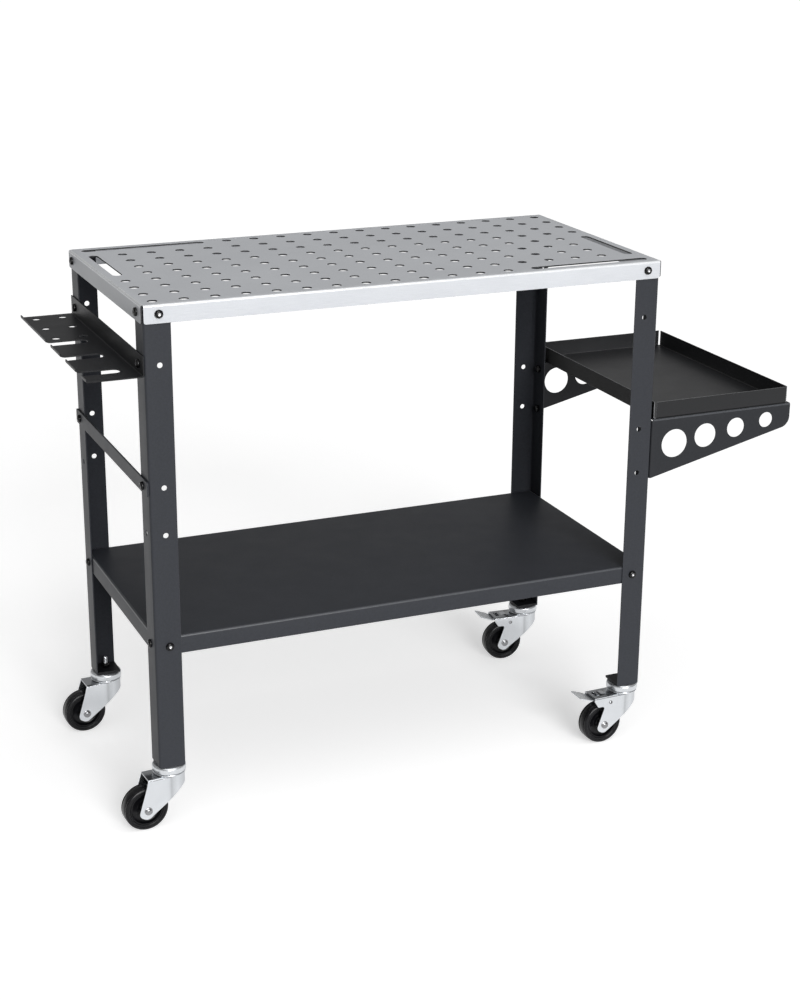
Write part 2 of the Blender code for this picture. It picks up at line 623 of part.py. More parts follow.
def stem_mesh():
    # Threaded stem with its nut, race cap and riveted kingpin; Z 0 is the foot of the leg
    race, stem, kingpin = RACE_DIAMETER / 2, STEM_DIAMETER / 2, KINGPIN_DIAMETER / 2
    high, low = -CONTACT_GAP, -CONTACT_GAP - RACE_HEIGHT
    rivet_top = FORK_TOP - FORK_SHEET - CONTACT_GAP
    rivet_low = rivet_top - RIVET_HEIGHT
    profile = [(0, STEM_LENGTH), (stem, STEM_LENGTH), (stem, high), (race * 0.86, high),
               (race, high - RACE_HEIGHT * 0.3), (race, high - RACE_HEIGHT * 0.65), (race * 0.9, low),
               (kingpin, low), (kingpin, rivet_top), (RIVET_DIAMETER / 2, rivet_top),
               (RIVET_DIAMETER / 2 * 0.7, rivet_low), (0, rivet_low)]
    stem_piece = piece("stem", turned_mesh("caster_stem", profile, TURNED_STEPS), zinc, parent=None)
    across_corners = NUT_WIDTH / math.cos(math.radians(30))
    nut_low = FOOT_PLATE + CONTACT_GAP
    nut = rod_mesh("nut", [((0, 0, nut_low), (0, 0, nut_low + STEM_NUT_HEIGHT), across_corners)], 6)
    cut(stem_piece, nut, "UNION")
    return baked(stem_piece)


def fork_mesh(braked):
    # A stamped shell: round nose, open tail, cheeks that run down to the axle
    half = FORK_WIDTH / 2
    tail = BRAKE_TAIL if braked else FORK_TAIL
    toe, heel = AXLE + Vector((0.1, -1.25)) * FORK_BOSS, AXLE + Vector((1.25, -0.6)) * FORK_BOSS
    front = -half - NOSE_PAST - CUT_PAST
    rear = max(tail, heel.x) + CUT_PAST
    low = -AXLE_DROP - 2 * FORK_BOSS

    def nose_plan(radius, end):
        points = [Vector((end, -radius)), Vector((end, radius))]
        for step in range(TURNED_STEPS // 2 + 1):
            angle = math.pi / 2 + 2 * math.pi * step / TURNED_STEPS
            points.append(Vector((radius * math.cos(angle) - NOSE_PAST, radius * math.sin(angle))))
        return points

    bm = bmesh.new()
    bm.from_mesh(outline_mesh("fork", nose_plan(half, rear), low, FORK_TOP))
    rim = [edge for edge in bm.edges if all(abs(vert.co.z - FORK_TOP) < WELD for vert in edge.verts)
           and any(face.normal.z < 0.5 for face in edge.link_faces)]
    bmesh.ops.bevel(bm, geom=rim, offset=FORK_BEND, segments=2, profile=0.5, affect="EDGES")
    fork = piece("fork", mesh_from("caster_fork", bm), zinc, parent=None)

    corners = [(front, FORK_TOP + CUT_PAST, 0), (front, FORK_TOP - FORK_SKIRT, 0),
               (*toe, FORK_BOSS * 0.8), (*heel, FORK_BOSS * 0.7)]
    if braked:
        cheek = FORK_TOP - BRAKE_CHEEK
        corners += [(FORK_TAIL + CUT_PAST, cheek, FORK_BEND), (tail, cheek, FORK_BEND),
                    (tail, FORK_TOP + CUT_PAST, 0)]
    else:
        corners += [(tail, FORK_TOP + CUT_PAST, 0)]
    cheeks = outline_mesh("cheeks", rounded(corners), -half - CUT_PAST, half + CUT_PAST, FACING_Y)
    cut(fork, cheeks, "INTERSECT")
    inside = nose_plan(FORK_INSIDE, rear + CUT_PAST)
    cut(fork, outline_mesh("inside", inside, low - CUT_PAST, FORK_TOP - FORK_SHEET))
    across = half + CUT_PAST
    rods = [((0, 0, FORK_TOP - FORK_SHEET - CUT_PAST), (0, 0, FORK_TOP + CUT_PAST), KINGPIN_DIAMETER + 2 * RUNNING_GAP),
            ((AXLE.x, -across, AXLE.y), (AXLE.x, across, AXLE.y), AXLE_DIAMETER + 2 * CONTACT_GAP)]
    if braked:
        rods.append(((PIVOT_TRAIL, -across, -PIVOT_DROP), (PIVOT_TRAIL, across, -PIVOT_DROP),
                     PIN_DIAMETER + 2 * CONTACT_GAP))
    cut(fork, rod_mesh("holes", rods, TURNED_STEPS))
    mesh = baked(fork)
    mesh.shade_smooth()
    mesh.set_sharp_from_angle(angle=math.radians(40))
    return mesh


def hub_mesh():
    bore, boss = AXLE_DIAMETER / 2 + RUNNING_GAP, HUB_BOSS / 2
    reach, web, rim = FORK_INSIDE - BOSS_GAP, HUB_WEB / 2, WHEEL_WIDTH / 2 - RIM_INSET
    ledge = RIM_RADIUS - RIM_WALL
    profile = [(RIM_RADIUS, rim), (RIM_RADIUS, -rim), (ledge, -rim), (ledge, -web), (boss, -web), (boss, -reach),
               (bore, -reach), (bore, reach), (boss, reach), (boss, web), (ledge, web), (ledge, rim)]
    return turned_mesh("caster_hub", profile, HUB_STEPS, closed=True)


def tyre_mesh():
    bore, half = RIM_RADIUS + CONTACT_GAP, WHEEL_WIDTH / 2
    shoulder = WHEEL_RADIUS - TYRE_ROUND
    flat = half - TYRE_ROUND
    lean = TYRE_ROUND * math.cos(math.radians(45))
    profile = [(WHEEL_RADIUS, flat), (WHEEL_RADIUS, -flat), (shoulder + lean, -flat - lean), (shoulder, -half),
               (bore, -half), (bore, half), (shoulder, half), (shoulder + lean, flat + lean)]
    return turned_mesh("caster_tyre", profile, TYRE_STEPS, closed=True)


def axle_mesh():
    # Bolt across the fork, head and nut as hexagons on its ends
    half, shank = FORK_WIDTH / 2 + CONTACT_GAP, AXLE_DIAMETER / 2
    middle = half + AXLE_HEAD_HEIGHT / 2
    profile = [(0, middle), (shank, middle), (shank, -middle), (0, -middle)]
    axle = piece("axle", turned_mesh("caster_axle", profile, HEAD_STEPS), zinc, parent=None)
    ends = [((0, 0, half), (0, 0, half + AXLE_HEAD_HEIGHT), AXLE_HEAD),
            ((0, 0, -half - AXLE_HEAD_HEIGHT), (0, 0, -half), AXLE_HEAD)]
    cut(axle, rod_mesh("heads", ends, 6), "UNION")
    return baked(axle)


def pin_mesh():
    half, shank, head = FORK_WIDTH / 2 + CONTACT_GAP, PIN_DIAMETER / 2, PIN_HEAD / 2
    end = half + PIN_HEAD_HEIGHT
    profile = [(0, end), (head * 0.7, end), (head, half), (shank, half),
               (shank, -half), (head, -half), (head * 0.7, -end), (0, -end)]
    return turned_mesh("brake_pin", profile, HEAD_STEPS)


def pedal_mesh():
    # A bent plate from an eye on its pivot, under the fork's roof, to a raised toe tongue; pivot at the origin
    roof = FORK_TOP - FORK_SHEET - PEDAL_ROOF_GAP + PIVOT_DROP
    tail = BRAKE_TAIL - PIVOT_TRAIL
    tip = tail + PEDAL_REACH
    half = FORK_INSIDE - PEDAL_SIDE_GAP
    eye = PEDAL_EYE / 2
    side = rounded([(-eye, eye, eye * 0.6), (tail * 0.85, roof - PEDAL_ROOF_GAP, 0), (tail + PEDAL_SHEET, roof, 0),
                    (tip, roof + PEDAL_RISE, 0), (tip, roof + PEDAL_RISE - PEDAL_SHEET, 0),
                    (tail + PEDAL_SHEET, roof - PEDAL_SHEET * 1.2, 0), (tail * 0.7, -PEDAL_SHEET / 2, PEDAL_SHEET),
                    (tail * 0.3, -eye * 0.6, PEDAL_SHEET), (-eye, -eye, eye * 0.8)])
    pedal = piece("pedal", outline_mesh("brake_pedal", side, -half, half, FACING_Y), zinc, parent=None)
    plan = rounded([(-PEDAL_EYE, -half - CUT_PAST, 0), (tip - PEDAL_ROUND, -half - CUT_PAST, 0),
                    (tip + CUT_PAST / 4, -half, PEDAL_ROUND), (tip + CUT_PAST / 4, half, PEDAL_ROUND),
                    (tip - PEDAL_ROUND, half + CUT_PAST, 0), (-PEDAL_EYE, half + CUT_PAST, 0)])
    cut(pedal, outline_mesh("plan", plan, -PIVOT_DROP, PIVOT_DROP), "INTERSECT")
    across = half + CUT_PAST
    cut(pedal, rod_mesh("bore", [((0, -across, 0), (0, across, 0), PIN_DIAMETER + 2 * RUNNING_GAP)], HEAD_STEPS))
    return baked(pedal)


def build_casters():
    stem, hub, tyre, axle, pin, pedal = (stem_mesh(), hub_mesh(), tyre_mesh(), axle_mesh(), pin_mesh(), pedal_mesh())
    plain_fork, braked_fork = fork_mesh(False), fork_mesh(True)
    across = (math.radians(-90), 0, 0)
    for corner, (sx, sy) in CORNERS.items():
        place = (sx * (LEG_FACE_X - LEG_MIDDLE), sy * (LEG_FACE_Y - LEG_MIDDLE), LEG_BOTTOM)
        piece("caster_stem_" + corner, stem, zinc, root, place)
        swivel = empty("swivel_" + corner, root, place, CASTER_TURN[corner])
        wheel = empty("wheel_" + corner, swivel, (AXLE.x, 0, AXLE.y))
        braked = corner in BRAKED
        piece("caster_fork_" + corner, braked_fork if braked else plain_fork, zinc, swivel)
        piece("caster_axle_" + corner, axle, zinc, wheel, (0, 0, 0), across)
        piece("caster_hub_" + corner, hub, plastic, wheel, (0, 0, 0), across)
        piece("caster_tyre_" + corner, tyre, rubber, wheel, (0, 0, 0), across)
        if braked:
            pivot = empty("pivot_" + corner, swivel, (PIVOT_TRAIL, 0, -PIVOT_DROP))
            piece("brake_pin_" + corner, pin, zinc, pivot, (0, 0, 0), across)
            piece("brake_pedal_" + corner, pedal, zinc, pivot)


build_worktop()
build_legs()
build_shelf()
build_tray()
build_brackets()
build_rack()
build_bar()
build_bolts()
build_casters()
root.location = (TABLE_X, 0, 0)
bpy.context.view_layer.update()
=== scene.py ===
import json
import math

import bmesh
import bpy
from mathutils import Euler, Matrix, Vector


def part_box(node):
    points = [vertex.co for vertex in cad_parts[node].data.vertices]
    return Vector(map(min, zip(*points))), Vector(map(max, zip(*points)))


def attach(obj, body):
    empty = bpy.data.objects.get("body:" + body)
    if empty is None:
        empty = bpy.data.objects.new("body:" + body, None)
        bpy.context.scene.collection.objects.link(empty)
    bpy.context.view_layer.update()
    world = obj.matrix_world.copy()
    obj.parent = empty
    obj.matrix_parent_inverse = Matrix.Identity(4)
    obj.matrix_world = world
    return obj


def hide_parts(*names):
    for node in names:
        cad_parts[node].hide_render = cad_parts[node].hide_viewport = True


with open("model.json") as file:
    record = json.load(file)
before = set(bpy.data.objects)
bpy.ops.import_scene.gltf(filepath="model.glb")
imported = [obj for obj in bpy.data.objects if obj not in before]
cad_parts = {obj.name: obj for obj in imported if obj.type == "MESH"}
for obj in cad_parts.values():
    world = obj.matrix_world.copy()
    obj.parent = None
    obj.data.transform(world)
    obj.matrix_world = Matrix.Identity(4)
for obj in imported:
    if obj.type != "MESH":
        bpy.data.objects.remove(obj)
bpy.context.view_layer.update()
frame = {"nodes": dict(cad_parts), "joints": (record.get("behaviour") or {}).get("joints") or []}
joints = {joint["name"]: joint for joint in frame["joints"]}
cornerSigns = {"front_left": (-1, -1), "front_right": (1, -1), "rear_right": (1, 1), "rear_left": (-1, 1)}
brakedCorners = ("front_right", "rear_right")
topLow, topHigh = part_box("worktop")
# the table's own middle, which tray and rack reach past by different lengths
tableX = (topLow.x + topHigh.x) / 2
up, down = Vector((0, 0, 1)), Vector((0, 0, -1))
fourSides = [Vector(away) for away in ((0, -1, 0), (1, 0, 0), (0, 1, 0), (-1, 0, 0))]
weldGap = 0.000002  # points nearer than this count as one
sharpAngle = math.radians(38)  # corners sharper than this stay crisp or get a broken edge
print("frame loaded,", len(frame["nodes"]), "nodes")


# noise and colour helpers for the finishes

def newFinish(name):
    finish = bpy.data.materials.new(name)
    finish.use_nodes = True
    tree = finish.node_tree
    return finish, tree, tree.nodes["Principled BSDF"]


def grain(tree, scale, detail=3.0, stretch=(1, 1, 1), roughness=0.55):
    coords = tree.nodes.new("ShaderNodeTexCoord")
    mapping = tree.nodes.new("ShaderNodeMapping")
    mapping.inputs["Scale"].default_value = stretch
    noise = tree.nodes.new("ShaderNodeTexNoise")
    noise.inputs["Scale"].default_value = scale
    noise.inputs["Detail"].default_value = detail
    noise.inputs["Roughness"].default_value = roughness
    tree.links.new(coords.outputs["Object"], mapping.inputs["Vector"])
    tree.links.new(mapping.outputs["Vector"], noise.inputs["Vector"])
    return noise.outputs["Fac"]


def spread(tree, field, low, high, start=0.3, end=0.7):
    ranged = tree.nodes.new("ShaderNodeMapRange")
    ranged.inputs["From Min"].default_value = start
    ranged.inputs["From Max"].default_value = end
    ranged.inputs["To Min"].default_value = low
    ranged.inputs["To Max"].default_value = high
    tree.links.new(field, ranged.inputs["Value"])
    return ranged.outputs["Result"]


def tint(tree, field, dark, light, start=0.3, end=0.7):
    ramp = tree.nodes.new("ShaderNodeValToRGB")
    ramp.color_ramp.elements[0].position = start
    ramp.color_ramp.elements[0].color = (*dark, 1)
    ramp.color_ramp.elements[1].position = end
    ramp.color_ramp.elements[1].color = (*light, 1)
    tree.links.new(field, ramp.inputs["Fac"])
    return ramp.outputs["Color"]


def overlay(tree, amount, under, over):
    mixed = tree.nodes.new("ShaderNodeMix")
    mixed.data_type = "RGBA"
    tree.links.new(amount, mixed.inputs["Factor"])
    tree.links.new(under, mixed.inputs["A"])
    if isinstance(over, tuple):
        mixed.inputs["B"].default_value = (*over, 1)
    else:
        tree.links.new(over, mixed.inputs["B"])
    return mixed.outputs["Result"]


def times(tree, first, second, operation="MULTIPLY"):
    sums = tree.nodes.new("ShaderNodeMath")
    sums.operation = operation
    sums.use_clamp = True
    tree.links.new(first, sums.inputs[0])
    tree.links.new(second, sums.inputs[1])
    return sums.outputs["Value"]


def edgeWearAndHighlightMask(tree, width, patchScale):
    # edge mask for wear and painted highlight: where a rounded normal leaves the real one, broken up by a
    # patchy noise
    rounded = tree.nodes.new("ShaderNodeBevel")
    rounded.samples = 4
    rounded.inputs["Radius"].default_value = width
    geometry = tree.nodes.new("ShaderNodeNewGeometry")
    facing = tree.nodes.new("ShaderNodeVectorMath")
    facing.operation = "DOT_PRODUCT"
    tree.links.new(rounded.outputs["Normal"], facing.inputs[0])
    tree.links.new(geometry.outputs["Normal"], facing.inputs[1])
    sharp = spread(tree, facing.outputs["Value"], 1, 0, 0.82, 0.99)
    patches = spread(tree, grain(tree, patchScale), 0.15, 1, 0.38, 0.62)
    return times(tree, sharp, patches)


def relief(tree, shader, field, strength, depth):
    bump = tree.nodes.new("ShaderNodeBump")
    bump.inputs["Strength"].default_value = strength
    bump.inputs["Distance"].default_value = depth
    tree.links.new(field, bump.inputs["Height"])
    tree.links.new(bump.outputs["Normal"], shader.inputs["Normal"])


def powderCoat(name, look):
    finish, tree, shader = newFinish(name)
    dark = tuple(part * (1 - look["mottle"]) for part in look["colour"])
    light = tuple(part * (1 + look["mottle"]) for part in look["colour"])
    body = tint(tree, grain(tree, 320, 3), dark, light)
    wearAndHighlightMask = edgeWearAndHighlightMask(tree, width=0.0012, patchScale=60)
    # edges take the lighter colour: wear, partly a painted highlight
    tree.links.new(overlay(tree, wearAndHighlightMask, body, look["edgeWearAndHighlight"]), shader.inputs["Base Color"])
    tree.links.new(spread(tree, grain(tree, 18, 4), look["gloss"] - 0.025, look["gloss"] + 0.025),
                   shader.inputs["Roughness"])
    relief(tree, shader, grain(tree, 1500, 2), look["texture"], depth=0.0003)
    shader.inputs["Specular IOR Level"].default_value = look["shine"]
    return finish


def zincSheet(name, look):
    # plated steel: a faint rolled grain along X, cloudy patches, fine scuffs
    finish, tree, shader = newFinish(name)
    cloud = tint(tree, grain(tree, look["cloud"], 5), look["dark"], look["light"])
    rolled = grain(tree, 5, stretch=(6, 260, 260))
    streaks = spread(tree, rolled, 0, look["streak"], 0.4, 0.75)
    colour = overlay(tree, streaks, cloud, look["streakColour"])
    speckle = spread(tree, grain(tree, 700, 2, stretch=(1, 2.5, 2.5)), 0, look["speckle"], 0.45, 0.7)
    colour = overlay(tree, speckle, colour, look["scuffColour"])
    scratches = grain(tree, 90, 8, stretch=(1, 3.5, 1), roughness=0.75)
    scuffs = spread(tree, scratches, 0, look["scuff"], 0.62, 0.74)
    colour = overlay(tree, scuffs, colour, look["scuffColour"])
    if "paintedReflection" in look:
        paintedReflectionAmount = tree.nodes.new("ShaderNodeAttribute")  # amount of painted reflection: darker bands on the fork's zinc
        paintedReflectionAmount.attribute_name = "paintedReflection"
        colour = overlay(tree, paintedReflectionAmount.outputs["Fac"], colour, look["paintedReflection"])
    wearAndHighlightMask = edgeWearAndHighlightMask(tree, width=0.0012, patchScale=45)
    # edges take the lighter colour: wear, partly a painted highlight
    tree.links.new(overlay(tree, wearAndHighlightMask, colour, look["edgeWearAndHighlight"]), shader.inputs["Base Color"])
    rough = times(tree, spread(tree, rolled, look["gloss"] - 0.07, look["gloss"] + 0.05),
                  spread(tree, grain(tree, 12, 5), 0.85, 1.0))
    tree.links.new(rough, shader.inputs["Roughness"])
    relief(tree, shader, rolled, look["texture"], depth=0.0002)
    shader.inputs["Metallic"].default_value = look["metal"]
    if "shine" in look:
        shader.inputs["Specular IOR Level"].default_value = look["shine"]
    return finish


def moulded(name, look):
    # rubber or plastic: fine moulded grain with a dusty bloom
    finish, tree, shader = newFinish(name)
    body = tint(tree, grain(tree, 30, 4), look["dark"], look["light"])
    dust = spread(tree, grain(tree, 140, 6), 0, look["dust"], 0.5, 0.75)
    tree.links.new(overlay(tree, dust, body, look["dustColour"]), shader.inputs["Base Color"])
    tree.links.new(spread(tree, grain(tree, 60, 4), look["gloss"] - 0.06, look["gloss"] + 0.08),
                   shader.inputs["Roughness"])
    relief(tree, shader, grain(tree, 1800, 2), look["texture"], depth=0.0002)
    shader.inputs["Specular IOR Level"].default_value = look["shine"]
    return finish


charcoalCoat = powderCoat("charcoal_powder_coat", {
    "colour": (0.0262, 0.0284, 0.0342), "mottle": 0.10, "edgeWearAndHighlight": (0.075, 0.078, 0.086),
    "gloss": 0.48, "texture": 0.09, "shine": 0.24})
# painted shade: a darker, duller copy of the charcoal coat for the inner faces of the legs
charcoalInnerPaintedShade = powderCoat("charcoal_inner_painted_shade", {
    "colour": (0.0228, 0.0245, 0.0291), "mottle": 0.10, "edgeWearAndHighlight": (0.050, 0.052, 0.058),
    "gloss": 0.60, "texture": 0.09, "shine": 0.05})
# painted highlight: a lighter, shinier charcoal for bends, standing in for the light line they catch
charcoalBendPaintedHighlight = powderCoat("charcoal_bend_painted_highlight", {
    "colour": (0.0480, 0.0510, 0.0580), "mottle": 0.12, "edgeWearAndHighlight": (0.110, 0.114, 0.122),
    "gloss": 0.30, "texture": 0.05, "shine": 0.50})
bracketCoat = powderCoat("bracket_powder_coat", {
    "colour": (0.0168, 0.0180, 0.0212), "mottle": 0.10, "edgeWearAndHighlight": (0.060, 0.062, 0.068),
    "gloss": 0.46, "texture": 0.10, "shine": 0.22})
blackCoat = powderCoat("black_powder_coat", {
    "colour": (0.0098, 0.0102, 0.0116), "mottle": 0.10, "edgeWearAndHighlight": (0.055, 0.055, 0.058),
    "gloss": 0.42, "texture": 0.11, "shine": 0.20})
trayCoat = powderCoat("tray_powder_coat", {
    "colour": (0.0090, 0.0094, 0.0106), "mottle": 0.10, "edgeWearAndHighlight": (0.060, 0.060, 0.064),
    "gloss": 0.36, "texture": 0.11, "shine": 0.46})
# painted shade: a slightly darker, less shiny copy of the tray coat for the outside
trayOuterPaintedShade = powderCoat("tray_outer_painted_shade", {
    "colour": (0.0084, 0.0088, 0.0100), "mottle": 0.10, "edgeWearAndHighlight": (0.060, 0.060, 0.064),
    "gloss": 0.36, "texture": 0.11, "shine": 0.33})
# painted shade: a darker, duller copy of the tray coat for the bends and the wall next to the legs
trayPaintedShadeSide = powderCoat("tray_side_painted_shade", {
    "colour": (0.0084, 0.0086, 0.0088), "mottle": 0.10, "edgeWearAndHighlight": (0.040, 0.040, 0.042),
    "gloss": 0.50, "texture": 0.11, "shine": 0.10})
# painted highlight: a light coat on the sheet's cut edges, standing in for the light line along the rim
trayRimPaintedHighlight = powderCoat("tray_rim_painted_highlight", {
    "colour": (0.170, 0.173, 0.180), "mottle": 0.25, "edgeWearAndHighlight": (0.260, 0.262, 0.268),
    "gloss": 0.34, "texture": 0.06, "shine": 0.50})
blackBolt = powderCoat("black_oxide_bolt", {
    "colour": (0.0022, 0.0022, 0.0025), "mottle": 0.15, "edgeWearAndHighlight": (0.030, 0.030, 0.031),
    "gloss": 0.17, "texture": 0.02, "shine": 0.26})
# bare steel in the bolt sockets: wear from the key, lightened further as a painted glint
socketWearAndGlint = zincSheet("socket_wear_and_painted_glint", {
    "dark": (0.50, 0.50, 0.51), "light": (0.66, 0.66, 0.67), "cloud": 300,
    "streak": 0.25, "streakColour": (0.74, 0.74, 0.75), "speckle": 0.25, "scuff": 0.25,
    "scuffColour": (0.20, 0.20, 0.20), "edgeWearAndHighlight": (0.80, 0.80, 0.81),
    "gloss": 0.26, "texture": 0.03, "metal": 0.85})
topLook = {
    "dark": (0.545, 0.561, 0.589), "light": (0.595, 0.612, 0.640), "cloud": 6,
    "streak": 0.45, "streakColour": (0.70, 0.715, 0.74), "speckle": 0.34, "scuff": 0.14,
    "scuffColour": (0.44, 0.455, 0.48), "edgeWearAndHighlight": (0.80, 0.81, 0.83),
    "gloss": 0.40, "texture": 0.04, "metal": 0.08, "shine": 0.16}
topSteel = zincSheet("zinc_grey_worktop", topLook)
# painted shade: a darker copy of the worktop zinc for the end flanges
endSteelPaintedShade = zincSheet("zinc_grey_end_flange_painted_shade", {
    **topLook, "dark": (0.430, 0.443, 0.465), "light": (0.470, 0.484, 0.506),
    "streakColour": (0.56, 0.572, 0.592)})
# painted highlight: a lighter zinc for the worktop's bends, standing in for the light line along them
bendPaintedHighlight = zincSheet("zinc_bend_painted_highlight", {
    "dark": (0.70, 0.715, 0.735), "light": (0.77, 0.785, 0.80), "cloud": 14,
    "streak": 0.30, "streakColour": (0.84, 0.85, 0.86), "speckle": 0.20, "scuff": 0.20,
    "scuffColour": (0.54, 0.55, 0.57), "edgeWearAndHighlight": (0.84, 0.85, 0.86),
    "gloss": 0.34, "texture": 0.04, "metal": 0.30})
cutEdge = powderCoat("dark_cut_edge", {
    "colour": (0.022, 0.022, 0.024), "mottle": 0.25, "edgeWearAndHighlight": (0.09, 0.09, 0.095),
    "gloss": 0.50, "texture": 0.05, "shine": 0.25})
# the fork's zinc carries painted reflection: darker bands set per vertex on the nose and roof
brightZinc = zincSheet("bright_zinc_plate", {
    "dark": (0.640, 0.660, 0.685), "light": (0.680, 0.700, 0.725), "cloud": 40,
    "streak": 0.12, "streakColour": (0.72, 0.74, 0.765), "speckle": 0.06, "scuff": 0.08,
    "scuffColour": (0.55, 0.555, 0.57), "edgeWearAndHighlight": (0.84, 0.84, 0.85),
    "gloss": 0.20, "texture": 0.010, "metal": 0.97, "paintedReflection": (0.42, 0.433, 0.450)})
brushedZinc = zincSheet("brushed_zinc_plate", {
    "dark": (0.600, 0.618, 0.640), "light": (0.660, 0.678, 0.700), "cloud": 60,
    "streak": 0.25, "streakColour": (0.70, 0.715, 0.735), "speckle": 0.15, "scuff": 0.15,
    "scuffColour": (0.46, 0.465, 0.475), "edgeWearAndHighlight": (0.84, 0.84, 0.85),
    "gloss": 0.31, "texture": 0.02, "metal": 0.92})
# painted shade: a darker zinc for the axle bolts and pivot pins, standing in for the shaded dimple and the
# shadow round the nut
fastenerZincPaintedShade = zincSheet("zinc_fastener_painted_shade", {
    "dark": (0.210, 0.214, 0.222), "light": (0.300, 0.304, 0.312), "cloud": 120,
    "streak": 0.15, "streakColour": (0.50, 0.505, 0.515), "speckle": 0.15, "scuff": 0.15,
    "scuffColour": (0.22, 0.22, 0.225), "edgeWearAndHighlight": (0.80, 0.80, 0.81),
    "gloss": 0.17, "texture": 0.010, "metal": 0.97})
tyreRubber = moulded("black_tyre_rubber", {
    "dark": (0.0045, 0.0045, 0.0054), "light": (0.0070, 0.0070, 0.0080), "dust": 0.08,
    "dustColour": (0.017, 0.017, 0.018), "gloss": 0.24, "texture": 0.04, "shine": 0.21})
hubPlastic = moulded("black_hub_plastic", {
    "dark": (0.0028, 0.0028, 0.0036), "light": (0.0046, 0.0046, 0.0056), "dust": 0.05,
    "dustColour": (0.015, 0.015, 0.016), "gloss": 0.22, "texture": 0.03, "shine": 0.20})
print("finishes mixed")


# sheet metal, rings and outlines

def bentOutline(corners, steps=6):
    # an outline from (x, y, radius) corners with an arc at each
    points = []
    count = len(corners)
    for i, (x, y, radius) in enumerate(corners):
        here = Vector((x, y))
        if radius <= 0:
            points.append(here)
            continue
        back = (Vector(corners[i - 1][:2]) - here).normalized()
        onward = (Vector(corners[(i + 1) % count][:2]) - here).normalized()
        half = back.angle(onward) / 2
        middle = here + (back + onward).normalized() * (radius / math.sin(half))
        first = here + back * (radius / math.tan(half)) - middle
        sweep = first.angle_signed(here + onward * (radius / math.tan(half)) - middle)
        for step in range(steps + 1):
            arm = first.copy()
            arm.rotate(Matrix.Rotation(-sweep * step / steps, 2))
            points.append(middle + arm)
    return points


def roundHole(x, y, radius, count):
    angles = [2 * math.pi * i / count for i in range(count)]
    return [Vector((x + radius * math.cos(angle), y + radius * math.sin(angle))) for angle in angles]


def slotHole(start, end, radius, count):
    start, end = Vector(start), Vector(end)
    along = math.atan2(end.y - start.y, end.x - start.x)
    points = []
    for centre, facing in ((end, along), (start, along + math.pi)):
        for i in range(count // 2 + 1):
            angle = facing - math.pi / 2 + 2 * math.pi * i / count
            points.append(centre + Vector((math.cos(angle), math.sin(angle))) * radius)
    return points


def layFlat(bm, outline, holes, place):
    # fills an outline around its holes, place turns a flat point into one in space
    edges = []
    rims = []
    for loop in [outline] + holes:
        rim = [bm.verts.new(place(point[0], point[1])) for point in loop]
        edges += [bm.edges.new((rim[i - 1], rim[i])) for i in range(len(rim))]
        rims.append(rim)
    bmesh.ops.triangle_fill(bm, use_beauty=True, use_dissolve=False, edges=edges)
    return rims[0]


def foldEdge(bm, first, second, outward, turnTo, radius, length, steps=5, bendFinish=0, wallFinish=0):
    # bends the sheet along one edge and runs a flange on from the bend
    shifts = []
    for step in range(1, steps + 1):
        angle = math.pi / 2 * step / steps
        shifts.append(outward * radius * math.sin(angle) + turnTo * radius * (1 - math.cos(angle)))
    if length > radius:
        shifts.append(outward * radius + turnTo * length)
    starts = (first.co.copy(), second.co.copy())
    last = (first, second)
    for i, shift in enumerate(shifts):
        new = [bm.verts.new(point + shift) for point in starts]
        face = bm.faces.new((last[0], last[1], new[1], new[0]))
        face.material_index = bendFinish if i < steps else wallFinish
        last = new
    return last


def ringAt(z, radius=0.0, hexAcross=0.0, count=24):
    points = []
    for i in range(count):
        angle = 2 * math.pi * i / count
        reach = radius
        if hexAcross:
            reach = hexAcross / 2 / math.cos((angle + math.pi / 6) % (math.pi / 3) - math.pi / 6)
        points.append(Vector((reach * math.cos(angle), reach * math.sin(angle), z)))
    return points


def stackRings(bm, rings, closed=False):
    made = [[bm.verts.new(point) for point in ring] for ring in rings]
    count = len(made[0])
    pairs = list(zip(made, made[1:]))
    if closed:
        pairs.append((made[-1], made[0]))
    for lower, upper in pairs:
        for i in range(count):
            bm.faces.new((lower[i], lower[(i + 1) % count], upper[(i + 1) % count], upper[i]))
    if not closed:
        bm.faces.new(made[0])
        bm.faces.new(made[-1])


def turned(bm, profile, count, closed=False):
    # a lathe form through (radius, z) points
    stackRings(bm, [ringAt(z, radius=radius, count=count) for radius, z in profile], closed)


def mirrored(side):
    return [(radius, -z) for radius, z in reversed(side)]


def hexNut(bm, low, high, across, crown=0.0009):
    stackRings(bm, [ringAt(low, radius=across * 0.47), ringAt(low + crown * 0.3, radius=across * 0.5),
                    ringAt(low + crown, hexAcross=across), ringAt(high - crown, hexAcross=across),
                    ringAt(high - crown * 0.3, radius=across * 0.5), ringAt(high, radius=across * 0.47)])


def threadRings(low, high, radius, pitch=0.00125):
    # ridged rod, one crest and one root for each turn
    rings = [ringAt(low, radius=radius * 0.80), ringAt(low + pitch * 0.5, radius=radius * 0.88)]
    z = low + pitch
    while z < high - pitch:
        rings += [ringAt(z, radius=radius), ringAt(z + pitch * 0.5, radius=radius * 0.88)]
        z += pitch
    return rings + [ringAt(high - pitch * 0.5, radius=radius * 0.88), ringAt(high, radius=radius * 0.78)]


